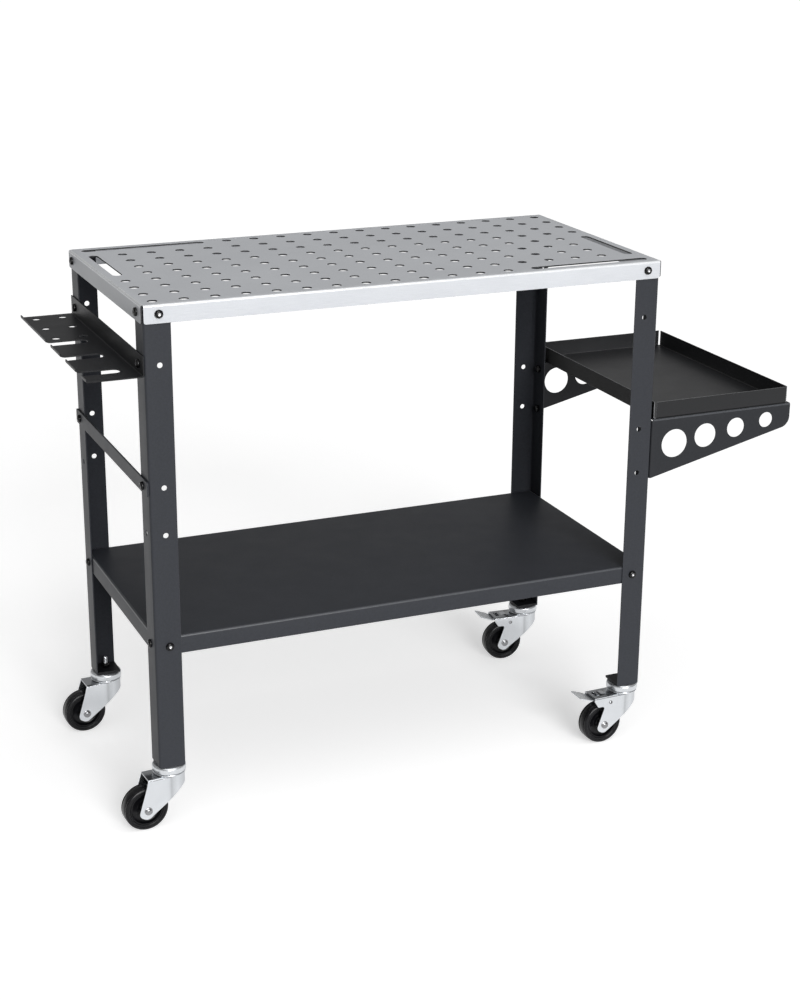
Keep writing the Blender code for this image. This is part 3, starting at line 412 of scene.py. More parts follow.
def addPiece(name, bm, finish, body, nodes, sheet=0.0, inner=0, facing=None, edge=0.0, place=None):
    # one finished piece: sheet gives a folded surface its thickness, inner picks the finish of its far side,
    # facing says which way the near side looks, edge breaks the sharp corners
    bmesh.ops.remove_doubles(bm, verts=bm.verts, dist=weldGap)
    bmesh.ops.recalc_face_normals(bm, faces=bm.faces)
    if facing is not None:
        outward = Vector(facing)
        near = max(bm.faces, key=lambda face: face.calc_area() * abs(face.normal.dot(outward)))
        if near.normal.dot(outward) < 0:
            bmesh.ops.reverse_faces(bm, faces=bm.faces)
    if place is not None:
        bmesh.ops.transform(bm, matrix=place, verts=bm.verts)
    mesh = bpy.data.meshes.new(name)
    bm.to_mesh(mesh)
    bm.free()
    mesh.shade_smooth()
    if not edge:
        mesh.set_sharp_from_angle(angle=sharpAngle)
    coats = finish if isinstance(finish, tuple) else (finish,)
    for coat in coats:
        mesh.materials.append(coat)
    piece = bpy.data.objects.new(name, mesh)
    bpy.context.scene.collection.objects.link(piece)
    if sheet:
        solid = piece.modifiers.new("sheet", "SOLIDIFY")
        solid.thickness = sheet
        solid.offset = -1
        solid.use_even_offset = True
        solid.use_quality_normals = True
        solid.material_offset = inner
        solid.material_offset_rim = len(coats) - 1
    if edge:
        soften = piece.modifiers.new("edge", "BEVEL")
        soften.width = edge
        soften.segments = 2
        soften.limit_method = "ANGLE"
        soften.angle_limit = sharpAngle
        soften.use_clamp_overlap = False
        soften.loop_slide = False
        soften.harden_normals = True
    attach(piece, body)
    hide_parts(*nodes)


# worktop: a folded pan with a square grid of clamp holes and four slots

worktop = {"sheet": 0.0025, "bend": 0.0036, "holeRadius": 0.008, "pitch": 0.0508, "columns": 18, "rows": 9,
           "endSlot": 3, "sideSlot": 4, "holeSides": 28, "flangeRound": 0.004, "squareOn": 0.995,
           "edge": 0.00035}


def makeWorktop(size):
    bend = size["bend"]
    x0, x1 = topLow.x + bend, topHigh.x - bend
    y0, y1 = topLow.y + bend, topHigh.y - bend
    gridX = [tableX + (i - (size["columns"] - 1) / 2) * size["pitch"] for i in range(size["columns"])]
    gridY = [(j - (size["rows"] - 1) / 2) * size["pitch"] for j in range(size["rows"])]
    lastColumn, lastRow = size["columns"] - 1, size["rows"] - 1
    slots = [[(0, j) for j in range(lastRow - 1 - size["endSlot"], lastRow)],
             [(i, 0) for i in range(lastColumn - size["sideSlot"], lastColumn + 1)]]
    # the same slots again, half a turn round
    slots += [[(lastColumn - i, lastRow - j) for i, j in cells] for cells in slots]
    slotted = [cell for cells in slots for cell in cells]
    holes = []
    for i, x in enumerate(gridX):
        for j, y in enumerate(gridY):
            if (i, j) not in slotted:
                holes.append(roundHole(x, y, size["holeRadius"], size["holeSides"]))
    for cells in slots:
        first, last = cells[0], cells[-1]
        holes.append(slotHole((gridX[first[0]], gridY[first[1]]), (gridX[last[0]], gridY[last[1]]),
                              size["holeRadius"], size["holeSides"]))
    bm = bmesh.new()
    outline = [(x0, y0), (x1, y0), (x1, y1), (x0, y1)]
    rim = layFlat(bm, outline, holes, lambda x, y: (x, y, topHigh.z))
    for i, away in enumerate(fourSides):
        # the bends take the painted highlight zinc
        first, second = foldEdge(bm, rim[i], rim[(i + 1) % 4], away, down, bend, bend, bendFinish=1)
        along = (second.co - first.co).normalized()
        span, drop, corner = (second.co - first.co).length, first.co.z - topLow.z, first.co.copy()
        flange = bentOutline([(0, 0, 0), (span, 0, 0), (span, -drop, size["flangeRound"]),
                              (0, -drop, size["flangeRound"])])
        layFlat(bm, flange, [], lambda u, z: corner + along * u + up * z)
    # painted shade: the end flanges take a darker copy of the zinc finish
    bm.normal_update()
    for face in bm.faces:
        if abs(face.normal.x) > size["squareOn"]:
            face.material_index = 2
    addPiece("worktop_sheet", bm, (topSteel, bendPaintedHighlight, endSteelPaintedShade, cutEdge), "frame", ["worktop"],
             sheet=size["sheet"], facing=(0, 0, 1), edge=size["edge"])


makeWorktop(worktop)
print("worktop folded")


# legs: bent angle with two rows of bolt holes, on a foot plate

legAngle = {"sheet": 0.002, "bend": 0.0044, "bendSteps": 6, "holeRadius": 0.0045, "holeInset": 0.025,
            "holeSides": 20, "holeDrops": (0.015, 0.097, 0.297, 0.377, 0.5685), "footPlate": 0.004,
            "plateRound": 0.001, "plateTip": 0.0008, "stemHole": 0.0045, "edge": 0.0004}


def makeLeg(corner, size):
    low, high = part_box("leg_" + corner)
    sx, sy = cornerSigns[corner]
    cornerX, cornerY = (low.x if sx < 0 else high.x), (low.y if sy < 0 else high.y)
    width, bend = high.x - low.x, size["bend"]
    heights = [topHigh.z - drop for drop in size["holeDrops"]]
    holes = [roundHole(size["holeInset"], z, size["holeRadius"], size["holeSides"]) for z in heights]
    flat = [(bend, low.z), (width, low.z), (width, high.z), (bend, high.z)]
    bm = bmesh.new()
    faceRim = layFlat(bm, flat, holes, lambda u, z: (cornerX - sx * u, cornerY, z))
    endRim = layFlat(bm, flat, holes, lambda u, z: (cornerX, cornerY - sy * u, z))
    # the rolled corner between the two flanges
    last = (faceRim[0], faceRim[3])
    steps = size["bendSteps"]
    for step in range(1, steps + 1):
        angle = math.pi / 2 * step / steps
        x = cornerX - sx * bend * (1 - math.sin(angle))
        y = cornerY - sy * bend * (1 - math.cos(angle))
        new = [endRim[0], endRim[3]]
        if step < steps:
            new = [bm.verts.new((x, y, z)) for z in (low.z, high.z)]
        bm.faces.new((last[0], last[1], new[1], new[0]))
        last = new
    # the far side of each leg angle takes the painted shade coat
    addPiece("leg_angle_" + corner, bm, (charcoalCoat, charcoalInnerPaintedShade, charcoalCoat), "frame",
             ["leg_" + corner], sheet=size["sheet"], inner=1, facing=(0, sy, 0), edge=size["edge"])

    # foot plate, let in between the flanges
    bm = bmesh.new()
    inside, radius = size["sheet"], size["plateRound"]
    plate = bentOutline([(inside, inside, radius), (width, inside, radius), (width, width, size["plateTip"]),
                         (inside, width, radius)])
    stem = roundHole(width / 2, width / 2, size["stemHole"], size["holeSides"])
    layFlat(bm, plate, [stem], lambda u, v: (cornerX - sx * u, cornerY - sy * v, low.z))
    # the black coat is the plate's own dark colour and partly painted shade for the dark band under the leg
    addPiece("foot_plate_" + corner, bm, blackCoat, "frame", ["leg_" + corner],
             sheet=size["footPlate"], facing=(0, 0, -1), edge=size["edge"])


for corner in cornerSigns:
    makeLeg(corner, legAngle)
print("legs bent")


# lower shelf: a folded pan bolted inside the legs

shelfPan = {"sheet": 0.002, "bend": 0.0032, "edge": 0.0003}


def makeShelf(size):
    low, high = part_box("lower_shelf")
    bend = size["bend"]
    outline = [(low.x + bend, low.y + bend), (high.x - bend, low.y + bend),
               (high.x - bend, high.y - bend), (low.x + bend, high.y - bend)]
    bm = bmesh.new()
    rim = layFlat(bm, outline, [], lambda x, y: (x, y, high.z))
    for i, away in enumerate(fourSides):
        # the shelf's bends take the painted highlight coat
        foldEdge(bm, rim[i], rim[(i + 1) % 4], away, down, bend, high.z - low.z, bendFinish=1)
    addPiece("shelf_pan", bm, (charcoalCoat, charcoalBendPaintedHighlight), "frame", ["lower_shelf"],
             sheet=size["sheet"], facing=(0, 0, 1), edge=size["edge"])


makeShelf(shelfPan)


# side tray: a shallow folded box with its corners left open

trayBox = {"sheet": 0.0015, "bend": 0.0025, "slit": 0.001, "edge": 0.0003}


def makeTray(size):
    low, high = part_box("side_tray")
    bend, slit = size["bend"], size["slit"]
    x0, x1, y0, y1 = low.x + bend, high.x - bend, low.y + bend, high.y - bend
    outline = [(x0 + slit, y0), (x1 - slit, y0), (x1, y0 + slit), (x1, y1 - slit),
               (x1 - slit, y1), (x0 + slit, y1), (x0, y1 - slit), (x0, y0 + slit)]
    bm = bmesh.new()
    rim = layFlat(bm, outline, [], lambda x, y: (x, y, low.z))
    for i, away in enumerate(fourSides):
        # painted shade: the bends and the wall next to the legs take a darker, duller copy of the coat
        foldEdge(bm, rim[2 * i], rim[2 * i + 1], away, up, bend, high.z - low.z, bendFinish=2,
                 wallFinish=2 if away.x < 0 else 0)
    coats = (trayOuterPaintedShade, trayCoat, trayPaintedShadeSide, trayCoat, trayRimPaintedHighlight)  # outside with painted shade, inside, outside with deeper painted shade, inside, rim with painted highlight
    addPiece("tray_box", bm, coats, "frame", ["side_tray"],
             sheet=size["sheet"], inner=1, facing=(0, 0, -1), edge=size["edge"])


makeTray(trayBox)


# tray brackets: folded gussets with four lightening holes

trayBracket = {"sheet": 0.0025, "bend": 0.0031, "tip": 0.041, "round": 0.020, "holes": 4, "holeShare": 0.53,
               "holeStart": 0.048, "holeEnd": 0.050, "holeSides": 40, "edge": 0.0004}


def makeBracket(side, size):
    node = "tray_bracket_" + side
    low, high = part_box(node)
    sy = -1 if side == "front" else 1
    face = low.y if sy < 0 else high.y
    bend = size["bend"]
    reach, root = high.x - low.x, high.z - low.z
    slant = (root - size["tip"]) * bend / reach
    corners = [(low.x + bend, high.z - bend, 0), (low.x + bend, low.z + slant, 0),
               (high.x, high.z - size["tip"], size["round"]), (high.x, high.z - bend, 0)]
    holes = []
    spacing = (reach - size["holeStart"] - size["holeEnd"]) / (size["holes"] - 1)
    for i in range(size["holes"]):
        along = size["holeStart"] + i * spacing
        height = root + (size["tip"] - root) * along / reach
        radius = height * size["holeShare"] / 2
        holes.append(roundHole(low.x + along, high.z - height / 2, radius, size["holeSides"]))
    bm = bmesh.new()
    rim = layFlat(bm, bentOutline(corners, steps=10), holes, lambda x, z: (x, face, z))
    inward = Vector((0, -sy, 0))
    width = high.y - low.y
    # the top bend takes the painted highlight coat
    foldEdge(bm, rim[-1], rim[0], up, inward, bend, width, bendFinish=1)
    foldEdge(bm, rim[0], rim[1], Vector((-1, 0, 0)), inward, bend, width)
    addPiece("gusset_" + side, bm, (bracketCoat, charcoalBendPaintedHighlight, bracketCoat), "frame", [node],
             sheet=size["sheet"], facing=(0, 0, 1), edge=size["edge"])


for side in ("front", "rear"):
    makeBracket(side, trayBracket)
print("shelf, tray and brackets folded")


# tool rack: a folded comb with lips on its fingers

toolRack = {"sheet": 0.002, "bend": 0.003, "lip": 0.006, "endFinger": 0.037, "finger": 0.0755, "slot": 0.025,
            "slotDepth": 0.066, "mouth": 0.008, "throat": 0.010, "holeRadius": 0.007, "holeEdge": 0.022,
            "holeSides": 28, "edge": 0.0003}


def makeRack(size):
    low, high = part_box("tool_rack")
    bend = size["bend"]
    outer, back = low.x + bend, high.x - bend
    throat = low.x + size["slotDepth"]
    corners = [(back, low.y, 0), (outer, low.y, 0)]
    start = low.y + size["endFinger"]
    mouth = size["mouth"] - bend * 0.5
    for finger in (size["finger"], size["finger"], 0):
        end = start + size["slot"]
        corners += [(outer, start, mouth), (throat, start, size["throat"]),
                    (throat, end, size["throat"]), (outer, end, mouth)]
        start = end + finger
    corners += [(outer, high.y, 0), (back, high.y, 0)]
    outline = bentOutline(corners, steps=8)
    near, far = start + size["holeEdge"], high.y - size["holeEdge"]
    left, right = low.x + size["holeEdge"], high.x - size["sheet"] - size["holeEdge"]
    holes = []
    for i in range(3):
        for x in (left, right):
            holes.append(roundHole(x, near + (far - near) * i / 2, size["holeRadius"], size["holeSides"]))
    bm = bmesh.new()
    rim = layFlat(bm, outline, holes, lambda x, y: (x, y, low.z))
    # lips on the fingers' ends, a tall flange along the back
    for i in range(len(rim)):
        first, second = rim[i], rim[(i + 1) % len(rim)]
        if (second.co - first.co).length > size["mouth"]:
            for lineX, away, height in ((outer, -1, size["lip"]), (back, 1, high.z - low.z)):
                if max(abs(first.co.x - lineX), abs(second.co.x - lineX)) < weldGap:
                    foldEdge(bm, first, second, Vector((away, 0, 0)), up, bend, height)
    addPiece("rack_comb", bm, blackCoat, "frame", ["tool_rack"],
             sheet=size["sheet"], facing=(0, 0, -1), edge=size["edge"])


makeRack(toolRack)


# cross bar between the left legs

crossBar = {"corner": 0.004, "edge": 0.0005}


def makeBar(size):
    low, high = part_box("cross_bar")
    corners = ((low.y, low.z), (high.y, low.z), (high.y, high.z), (low.y, high.z))
    outline = bentOutline([(y, z, size["corner"]) for y, z in corners])
    bm = bmesh.new()
    layFlat(bm, outline, [], lambda y, z: (low.x, y, z))
    addPiece("flat_bar", bm, charcoalCoat, "frame", ["cross_bar"],
             sheet=high.x - low.x, facing=(-1, 0, 0), edge=size["edge"])


makeBar(crossBar)
print("rack and bar cut")


# bolts: button heads with a hex socket outside, chamfered nuts inside

buttonBolt = {"headRadius": 0.007, "headHeight": 0.0045, "headRim": 0.0009, "bevel": 0.0003, "crown": 0.44,
              "domeEnd": 75, "domeSteps": 5, "shank": 0.004, "socket": 0.005, "socketDepth": 0.0026,
              "socketCone": 0.0006, "nut": 0.013, "nutHeight": 0.006, "threadPast": 0.0012, "threadIn": 0.002,
              "pitch": 0.0008}


def makeBolt(node, size):
    low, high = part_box(node)
    middle = (low + high) / 2
    spans = high - low
    axis = max(range(3), key=lambda i: spans[i])
    inside = tableX if axis == 0 else 0.0
    sign = 1 if middle[axis] > inside else -1
    length = spans[axis]
    seat = high[axis] - size["headHeight"] if sign > 0 else low[axis] + size["headHeight"]
    head, top, reach = size["headRadius"], size["headHeight"], size["headHeight"] - length
    rim, crown, shank, socket = size["headRim"], size["crown"], size["shank"], size["socket"]
    bm = bmesh.new()
    rings = [ringAt(reach + size["nutHeight"] * 0.9, radius=shank), ringAt(0, radius=shank),
             ringAt(0, radius=head * 0.96), ringAt(size["bevel"], radius=head), ringAt(rim, radius=head)]
    domeEnd = math.radians(size["domeEnd"])
    for step in range(1, size["domeSteps"] + 1):
        angle = domeEnd * step / size["domeSteps"]
        rings.append(ringAt(rim + (top - rim) * math.sin(angle) / math.sin(domeEnd),
                            radius=head * (crown + (1 - crown) * math.cos(angle) ** 0.8)))
    floor = top - size["socketDepth"]
    rings += [ringAt(top, radius=socket * 0.63), ringAt(top - size["bevel"], hexAcross=socket),
              ringAt(floor, hexAcross=socket), ringAt(floor - size["socketCone"], radius=socket * 0.1)]
    stackRings(bm, rings)
    for face in bm.faces:
        centre = face.calc_center_median()
        if centre.z > 0 and centre.xy.length < socket * 0.56:
            face.material_index = 1  # inside the socket: bare steel, worn by the key and lightened further as a painted glint
    hexNut(bm, reach, reach + size["nutHeight"], size["nut"])
    stackRings(bm, threadRings(reach - size["threadPast"], reach + size["threadIn"], shank, size["pitch"]))
    out = Vector((0, 0, 0))
    out[axis] = sign
    turn = up.rotation_difference(out).to_matrix().to_4x4()
    at = middle.copy()
    at[axis] = seat
    addPiece("button_" + node, bm, (blackBolt, socketWearAndGlint), "frame", [node],
             place=Matrix.Translation(at) @ turn)


boltNodes = sorted(name for name in frame["nodes"] if "_bolt_" in name)
for node in boltNodes:
    makeBolt(node, buttonBolt)
print(len(boltNodes), "bolts set")


# casters: every piece is built with the swivel at the origin, the foot of the leg at Z 0, trailing towards +X

caster = {"trail": 0.045, "axleDrop": 0.074, "roof": -0.0178, "width": 0.040, "sheet": 0.0025, "bend": 0.0038,
          "bendSteps": 5, "noseReach": 0.0272, "noseStart": 0.012, "noseSteps": 28, "noseOver": 0.002,
          "skirt": 0.018, "boss": 0.0135, "toe": (0.1, -1.25), "heel": (1.25, -0.6), "toeRound": 0.8,
          "heelRound": 0.7, "axleHole": 0.0043, "holeSides": 24, "tail": 0.0435, "brakeTail": 0.067,
          "brakeCheek": 0.019, "brakeLip": 0.0075, "brakeTaper": 0.007, "cheekStep": 0.002,
          "cheekRound": 0.004, "window": (0.0535, 0.0610, 0.0090), "windowRound": 0.0012,
          "pad": (0.0375, 0.0505, 0.0095), "padRound": 0.003, "padSlope": 0.0016, "padTopRound": 0.002,
          "padRise": 0.0012, "edge": 0.00045, "roofPaintedReflection": 1.0,
          "paintedReflectionBands": ((1, 0), (0.93, 0.1), (0.86, 0.75), (0.78, 0.3), (0.64, 0.0), (0.5, 0.35), (0.3, 0.6),
                         (0, 0.5))}
acrossFork = Matrix.Rotation(math.radians(90), 4, "X")  # lays a turned piece along the axle


# stem, bearing race and the nut on the foot plate

casterStem = {"radius": 0.004, "length": 0.025, "rootHigh": 0.001, "threadLow": 0.0005, "nut": 0.013,
              "nutLow": 0.0043, "nutHeight": 0.0085, "race": 0.0285, "raceTop": -0.0003, "raceHeight": 0.0165,
              "bevel": 0.0003, "shoulder": 0.86, "shoulderDrop": 0.26, "shoulderSteps": 6, "kingpin": 0.005,
              "rivet": 0.009, "rivetHeight": 0.0025, "rivetRim": 0.0009, "steps": 56,
              "wall": ((1, 0.66), (0.992, 0.70), (0.960, 0.735), (0.910, 0.745), (0.880, 0.76), (0.880, 0.81),
                       (0.910, 0.825), (0.955, 0.83), (0.968, 0.87), (0.962, 0.93))}


def makeStem(corner, place):
    size = casterStem
    radius, race, shoulder, bevel = size["radius"], size["race"], size["shoulder"], size["bevel"]
    top, tall = size["raceTop"], size["raceHeight"]
    low = top - tall
    profile = [(radius, size["rootHigh"]), (radius, top), (race * 0.80, top), (race * shoulder, top - bevel)]
    for step in range(1, size["shoulderSteps"] + 1):  # rolled shoulder of the upper cup
        angle = math.pi / 2 * step / size["shoulderSteps"]
        profile.append((race * (shoulder + (1 - shoulder) * math.sin(angle)),
                        top - bevel - tall * size["shoulderDrop"] * (1 - math.cos(angle))))
    # straight wall, the dark gap, then the lower ring
    profile += [(race * out, top - tall * drop) for out, drop in size["wall"]]
    profile += [(race * 0.93, low + bevel), (race * 0.88, low)]
    # kingpin down through the fork, its riveted end under the roof
    kingpin, rivet, rivetTop = size["kingpin"], size["rivet"], caster["roof"] - caster["sheet"] - bevel
    profile += [(kingpin, low), (kingpin, rivetTop), (rivet, rivetTop),
                (rivet * 0.96, rivetTop - size["rivetRim"]), (rivet * 0.7, rivetTop - size["rivetHeight"])]
    bm = bmesh.new()
    turned(bm, profile, size["steps"])
    stackRings(bm, threadRings(size["threadLow"], size["length"], radius))
    addPiece("stem_and_race_" + corner, bm, brushedZinc, "frame", ["caster_stem_" + corner],
             place=place)
    bm = bmesh.new()
    hexNut(bm, size["nutLow"], size["nutLow"] + size["nutHeight"], size["nut"])
    addPiece("foot_nut_" + corner, bm, blackBolt, "frame", ["caster_stem_" + corner], place=place)


# fork: one pressed shell, with a longer tail where there is a brake

def roundedBox(box, inset, radius):
    start, end, half = box[0] + inset, box[1] - inset, box[2] - inset
    corners = ((start, -half), (end, -half), (end, half), (start, half))
    return bentOutline([(x, y, radius) for x, y in corners], steps=5)


def makeFork(corner, place):
    size = caster
    braked = corner in brakedCorners
    half, bend, roof = size["width"] / 2, size["bend"], size["roof"]
    tail = size["brakeTail"] if braked else size["tail"]
    axle = Vector((size["trail"], -size["axleDrop"]))
    toe, heel = axle + Vector(size["toe"]) * size["boss"], axle + Vector(size["heel"]) * size["boss"]
    front = Vector((-size["noseReach"] - size["noseOver"], roof - size["skirt"]))

    def skirtAt(x):
        return front.y + (toe.y - front.y) * (x - front.x) / (toe.x - front.x)

    bm = bmesh.new()
    paintedReflection = bm.verts.layers.float.new("paintedReflection")
    arc = [math.pi / 2 + math.pi * i / size["noseSteps"] for i in range(size["noseSteps"] + 1)]
    start = size["noseStart"]
    stretch = start + size["noseReach"] - half  # the nose is longer than it is wide

    def noseAt(out, angle):
        return start + (out + stretch) * math.cos(angle), out * math.sin(angle)

    roofLine = [(tail, -half + bend), (tail, half - bend)] + [noseAt(half - bend, angle) for angle in arc]
    windows = []
    if braked:
        windows = [roundedBox(size["window"], 0, size["windowRound"]),
                   roundedBox(size["pad"], 0, size["padRound"])]
        # stamped pad: sloped sides up to a smaller flat
        raised, rise = roundedBox(size["pad"], size["padSlope"], size["padTopRound"]), size["padRise"]
        lower = [bm.verts.new((*point, roof)) for point in windows[1]]
        upper = [bm.verts.new((*point, roof + rise)) for point in raised]
        for i in range(len(lower)):
            bm.faces.new((lower[i - 1], lower[i], upper[i], upper[i - 1]))
        layFlat(bm, raised, [], lambda x, y: (x, y, roof + rise))
    layFlat(bm, roofLine, windows, lambda x, y: (x, y, roof))
    # the rounded edge of the roof, then the skirt round the nose
    rows = []
    steps = size["bendSteps"]
    for step in range(steps + 1):
        turn = math.pi / 2 * step / steps
        out, drop = half - bend + bend * math.sin(turn), bend * (1 - math.cos(turn))
        row = [(tail, out, roof - drop)] + [(*noseAt(out, angle), roof - drop) for angle in arc]
        rows.append(row + [(tail, -out, roof - drop)])
    rim = [noseAt(half, angle) for angle in arc]
    rows.append([None] + [(x, y, skirtAt(x)) for x, y in rim] + [None])
    made = [[bm.verts.new(point) if point else None for point in row] for row in rows]
    for upper, lower in zip(made, made[1:]):
        for i in range(len(upper) - 1):
            quad = (upper[i], upper[i + 1], lower[i + 1], lower[i])
            if None not in quad:
                bm.faces.new(quad)
    # painted reflection round the nose: darker bands from cheek to tip
    for row in made[-3:]:
        for i, angle in enumerate(arc):
            share = abs(angle - math.pi) / (math.pi / 2)
            for (near, low), (far, high) in zip(size["paintedReflectionBands"], size["paintedReflectionBands"][1:]):
                if far <= share <= near:
                    row[i + 1][paintedReflection] = low + (high - low) * (near - share) / (near - far)
    # painted reflection: the whole roof is painted darker
    for vert in bm.verts:
        if abs(vert.co.z - roof) < weldGap:
            vert[paintedReflection] = size["roofPaintedReflection"]
    # cheeks down to the axle
    edgeTop = roof - bend
    corners = [(start, edgeTop, 0), (tail, edgeTop, 0)]
    if braked:
        cheek, radius = roof - size["brakeCheek"], size["cheekRound"]
        corners += [(tail, roof - size["brakeLip"], 0), (tail - size["brakeTaper"], cheek, radius),
                    (size["tail"] + size["cheekStep"], cheek, radius)]
    corners += [(*heel, size["boss"] * size["heelRound"]), (*toe, size["boss"] * size["toeRound"]),
                (start, skirtAt(start), 0)]
    holes = [roundHole(axle.x, axle.y, size["axleHole"], size["holeSides"])]
    if braked:
        pedal = brakePedal
        holes.append(roundHole(pedal["pivotTrail"], -pedal["pivotDrop"], pedal["pin"] + pedal["play"],
                               pedal["pinHoleSides"]))
    outline = bentOutline(corners, steps=10)
    for y in (-half, half):
        layFlat(bm, outline, holes, lambda x, z, y=y: (x, y, z))
    addPiece("fork_shell_" + corner, bm, brightZinc, "caster_" + corner, ["caster_fork_" + corner],
             sheet=size["sheet"], edge=size["edge"], place=place)


# wheel: hub and tyre as (inwards, outwards) steps from each part's own corner, and the axle bolt through them

casterWheel = {"radius": 0.038, "halfWidth": 0.013, "rim": 0.029, "rimInset": 0.002, "web": 0.0045,
               "boss": 0.008, "bossReach": 0.017, "bore": 0.0044, "tyreGap": 0.0003, "steps": 72,
               "rimSteps": ((0, -0.0004), (0.0004, 0), (0.0022, 0), (0.0026, -0.0005)),
               "dishSteps": ((0.0032, 0.0022), (0.0046, 0.0008), (0.0072, 0)),
               "bossSteps": ((-0.0075, 0), (-0.0069, 0.0005), (-0.0055, 0.0005), (-0.0049, 0),
                             (-0.0018, 0.0002), (-0.0004, 0.0016)),
               "bossEnd": ((0, -0.0006), (0.0006, 0)), "boreEnd": ((-0.0005, 0), (0, -0.0005)),
               "treadSteps": ((0, 0.0062), (0.0002, 0.0067), (0.0013, 0.0070), (0.0014, 0.0082),
                              (0.0004, 0.0085), (0.0002, 0.0089), (0.0003, 0.0106), (0.0008, 0.0116),
                              (0.0016, 0.0123), (0.0026, 0.0127), (0.0036, 0.0130), (0.0048, 0.0130),
                              (0.0053, 0.0128), (0.0055, 0.0122), (0.0058, 0.0119), (0.0078, 0.0117)),
               "tyreFoot": ((-0.0004, 0.0116), (0, 0.0112))}
casterAxle = {"across": 0.0121, "flange": 0.007, "shank": 0.004, "gap": 0.0003, "shankPast": 0.001,
              "flangeSteps": ((0.97, 0), (1, 0.0004), (0.93, 0.0008)),
              "hexSteps": ((0.90, 0.0009), (0.90, 0.0022)),
              "crownSteps": ((0.43, 0.0027), (0.36, 0.0033), (0.25, 0.0037), (0.10, 0.004))}


def stepsFrom(radius, z, steps):
    return [(radius - inwards, z + outwards) for inwards, outwards in steps]


def makeWheel(corner, place):
    size = casterWheel
    body = "wheel_" + corner
    rim, boss, web = size["rim"], size["boss"], size["web"]
    onAxle = place @ Matrix.Translation((caster["trail"], 0, -caster["axleDrop"])) @ acrossFork
    side = stepsFrom(rim, size["halfWidth"] - size["rimInset"], size["rimSteps"])
    side += stepsFrom(rim, web, size["dishSteps"])
    side += stepsFrom(boss, web, size["bossSteps"])
    side += stepsFrom(boss, size["bossReach"], size["bossEnd"])
    side += stepsFrom(size["bore"], size["bossReach"], size["boreEnd"])
    bm = bmesh.new()
    turned(bm, side + mirrored(side), size["steps"], closed=True)
    addPiece("wheel_hub_" + corner, bm, hubPlastic, body, ["caster_hub_" + corner], place=onAxle)

    side = stepsFrom(size["radius"], 0, size["treadSteps"])
    side += stepsFrom(rim + size["tyreGap"], 0, size["tyreFoot"])
    bm = bmesh.new()
    turned(bm, mirrored(side) + [(size["radius"], 0)] + side, size["steps"], closed=True)
    addPiece("tyre_" + corner, bm, tyreRubber, body, ["caster_tyre_" + corner], place=onAxle)

    bolt = casterAxle
    reach = caster["width"] / 2 + bolt["gap"]
    shankEnd = reach + bolt["shankPast"]
    bm = bmesh.new()
    stackRings(bm, [ringAt(-shankEnd, radius=bolt["shank"]), ringAt(shankEnd, radius=bolt["shank"])])
    for facing in (-1, 1):
        rings = []
        for share, height in bolt["flangeSteps"]:
            rings.append(ringAt(facing * (reach + height), radius=bolt["flange"] * share))
        for share, height in bolt["hexSteps"]:
            rings.append(ringAt(facing * (reach + height), hexAcross=bolt["across"] * share))
        for share, height in bolt["crownSteps"]:
            rings.append(ringAt(facing * (reach + height), radius=bolt["across"] * share))
        stackRings(bm, rings)
    # the axle bolt takes the painted shade zinc
    addPiece("axle_bolt_" + corner, bm, fastenerZincPaintedShade, "caster_" + corner, ["caster_axle_" + corner],
             place=onAxle)


# brake: a bent plate curled round its pin, and the pin through the fork's cheeks

brakePedal = {"pivotTrail": 0.034, "pivotDrop": 0.0305, "sheet": 0.0025, "halfWidth": 0.0145, "reach": 0.030,
              "rise": 0.010, "round": 0.0025, "tongue": 0.0190, "flare": 0.0030, "flareRound": 0.001,
              "eye": 0.00475, "roofGap": 0.001, "edge": 0.00035, "pin": 0.0025, "play": 0.0003,
              "pinHoleSides": 20, "pinHead": 0.0034, "pinHeadHeight": 0.0008, "pinSides": 28,
              "pinEnd": ((0.15, 0.0034), (0.66, 0.0030), (0.68, 0.0002), (0.74, 0), (0.90, 0.0001),
                         (1, 0.0004))}


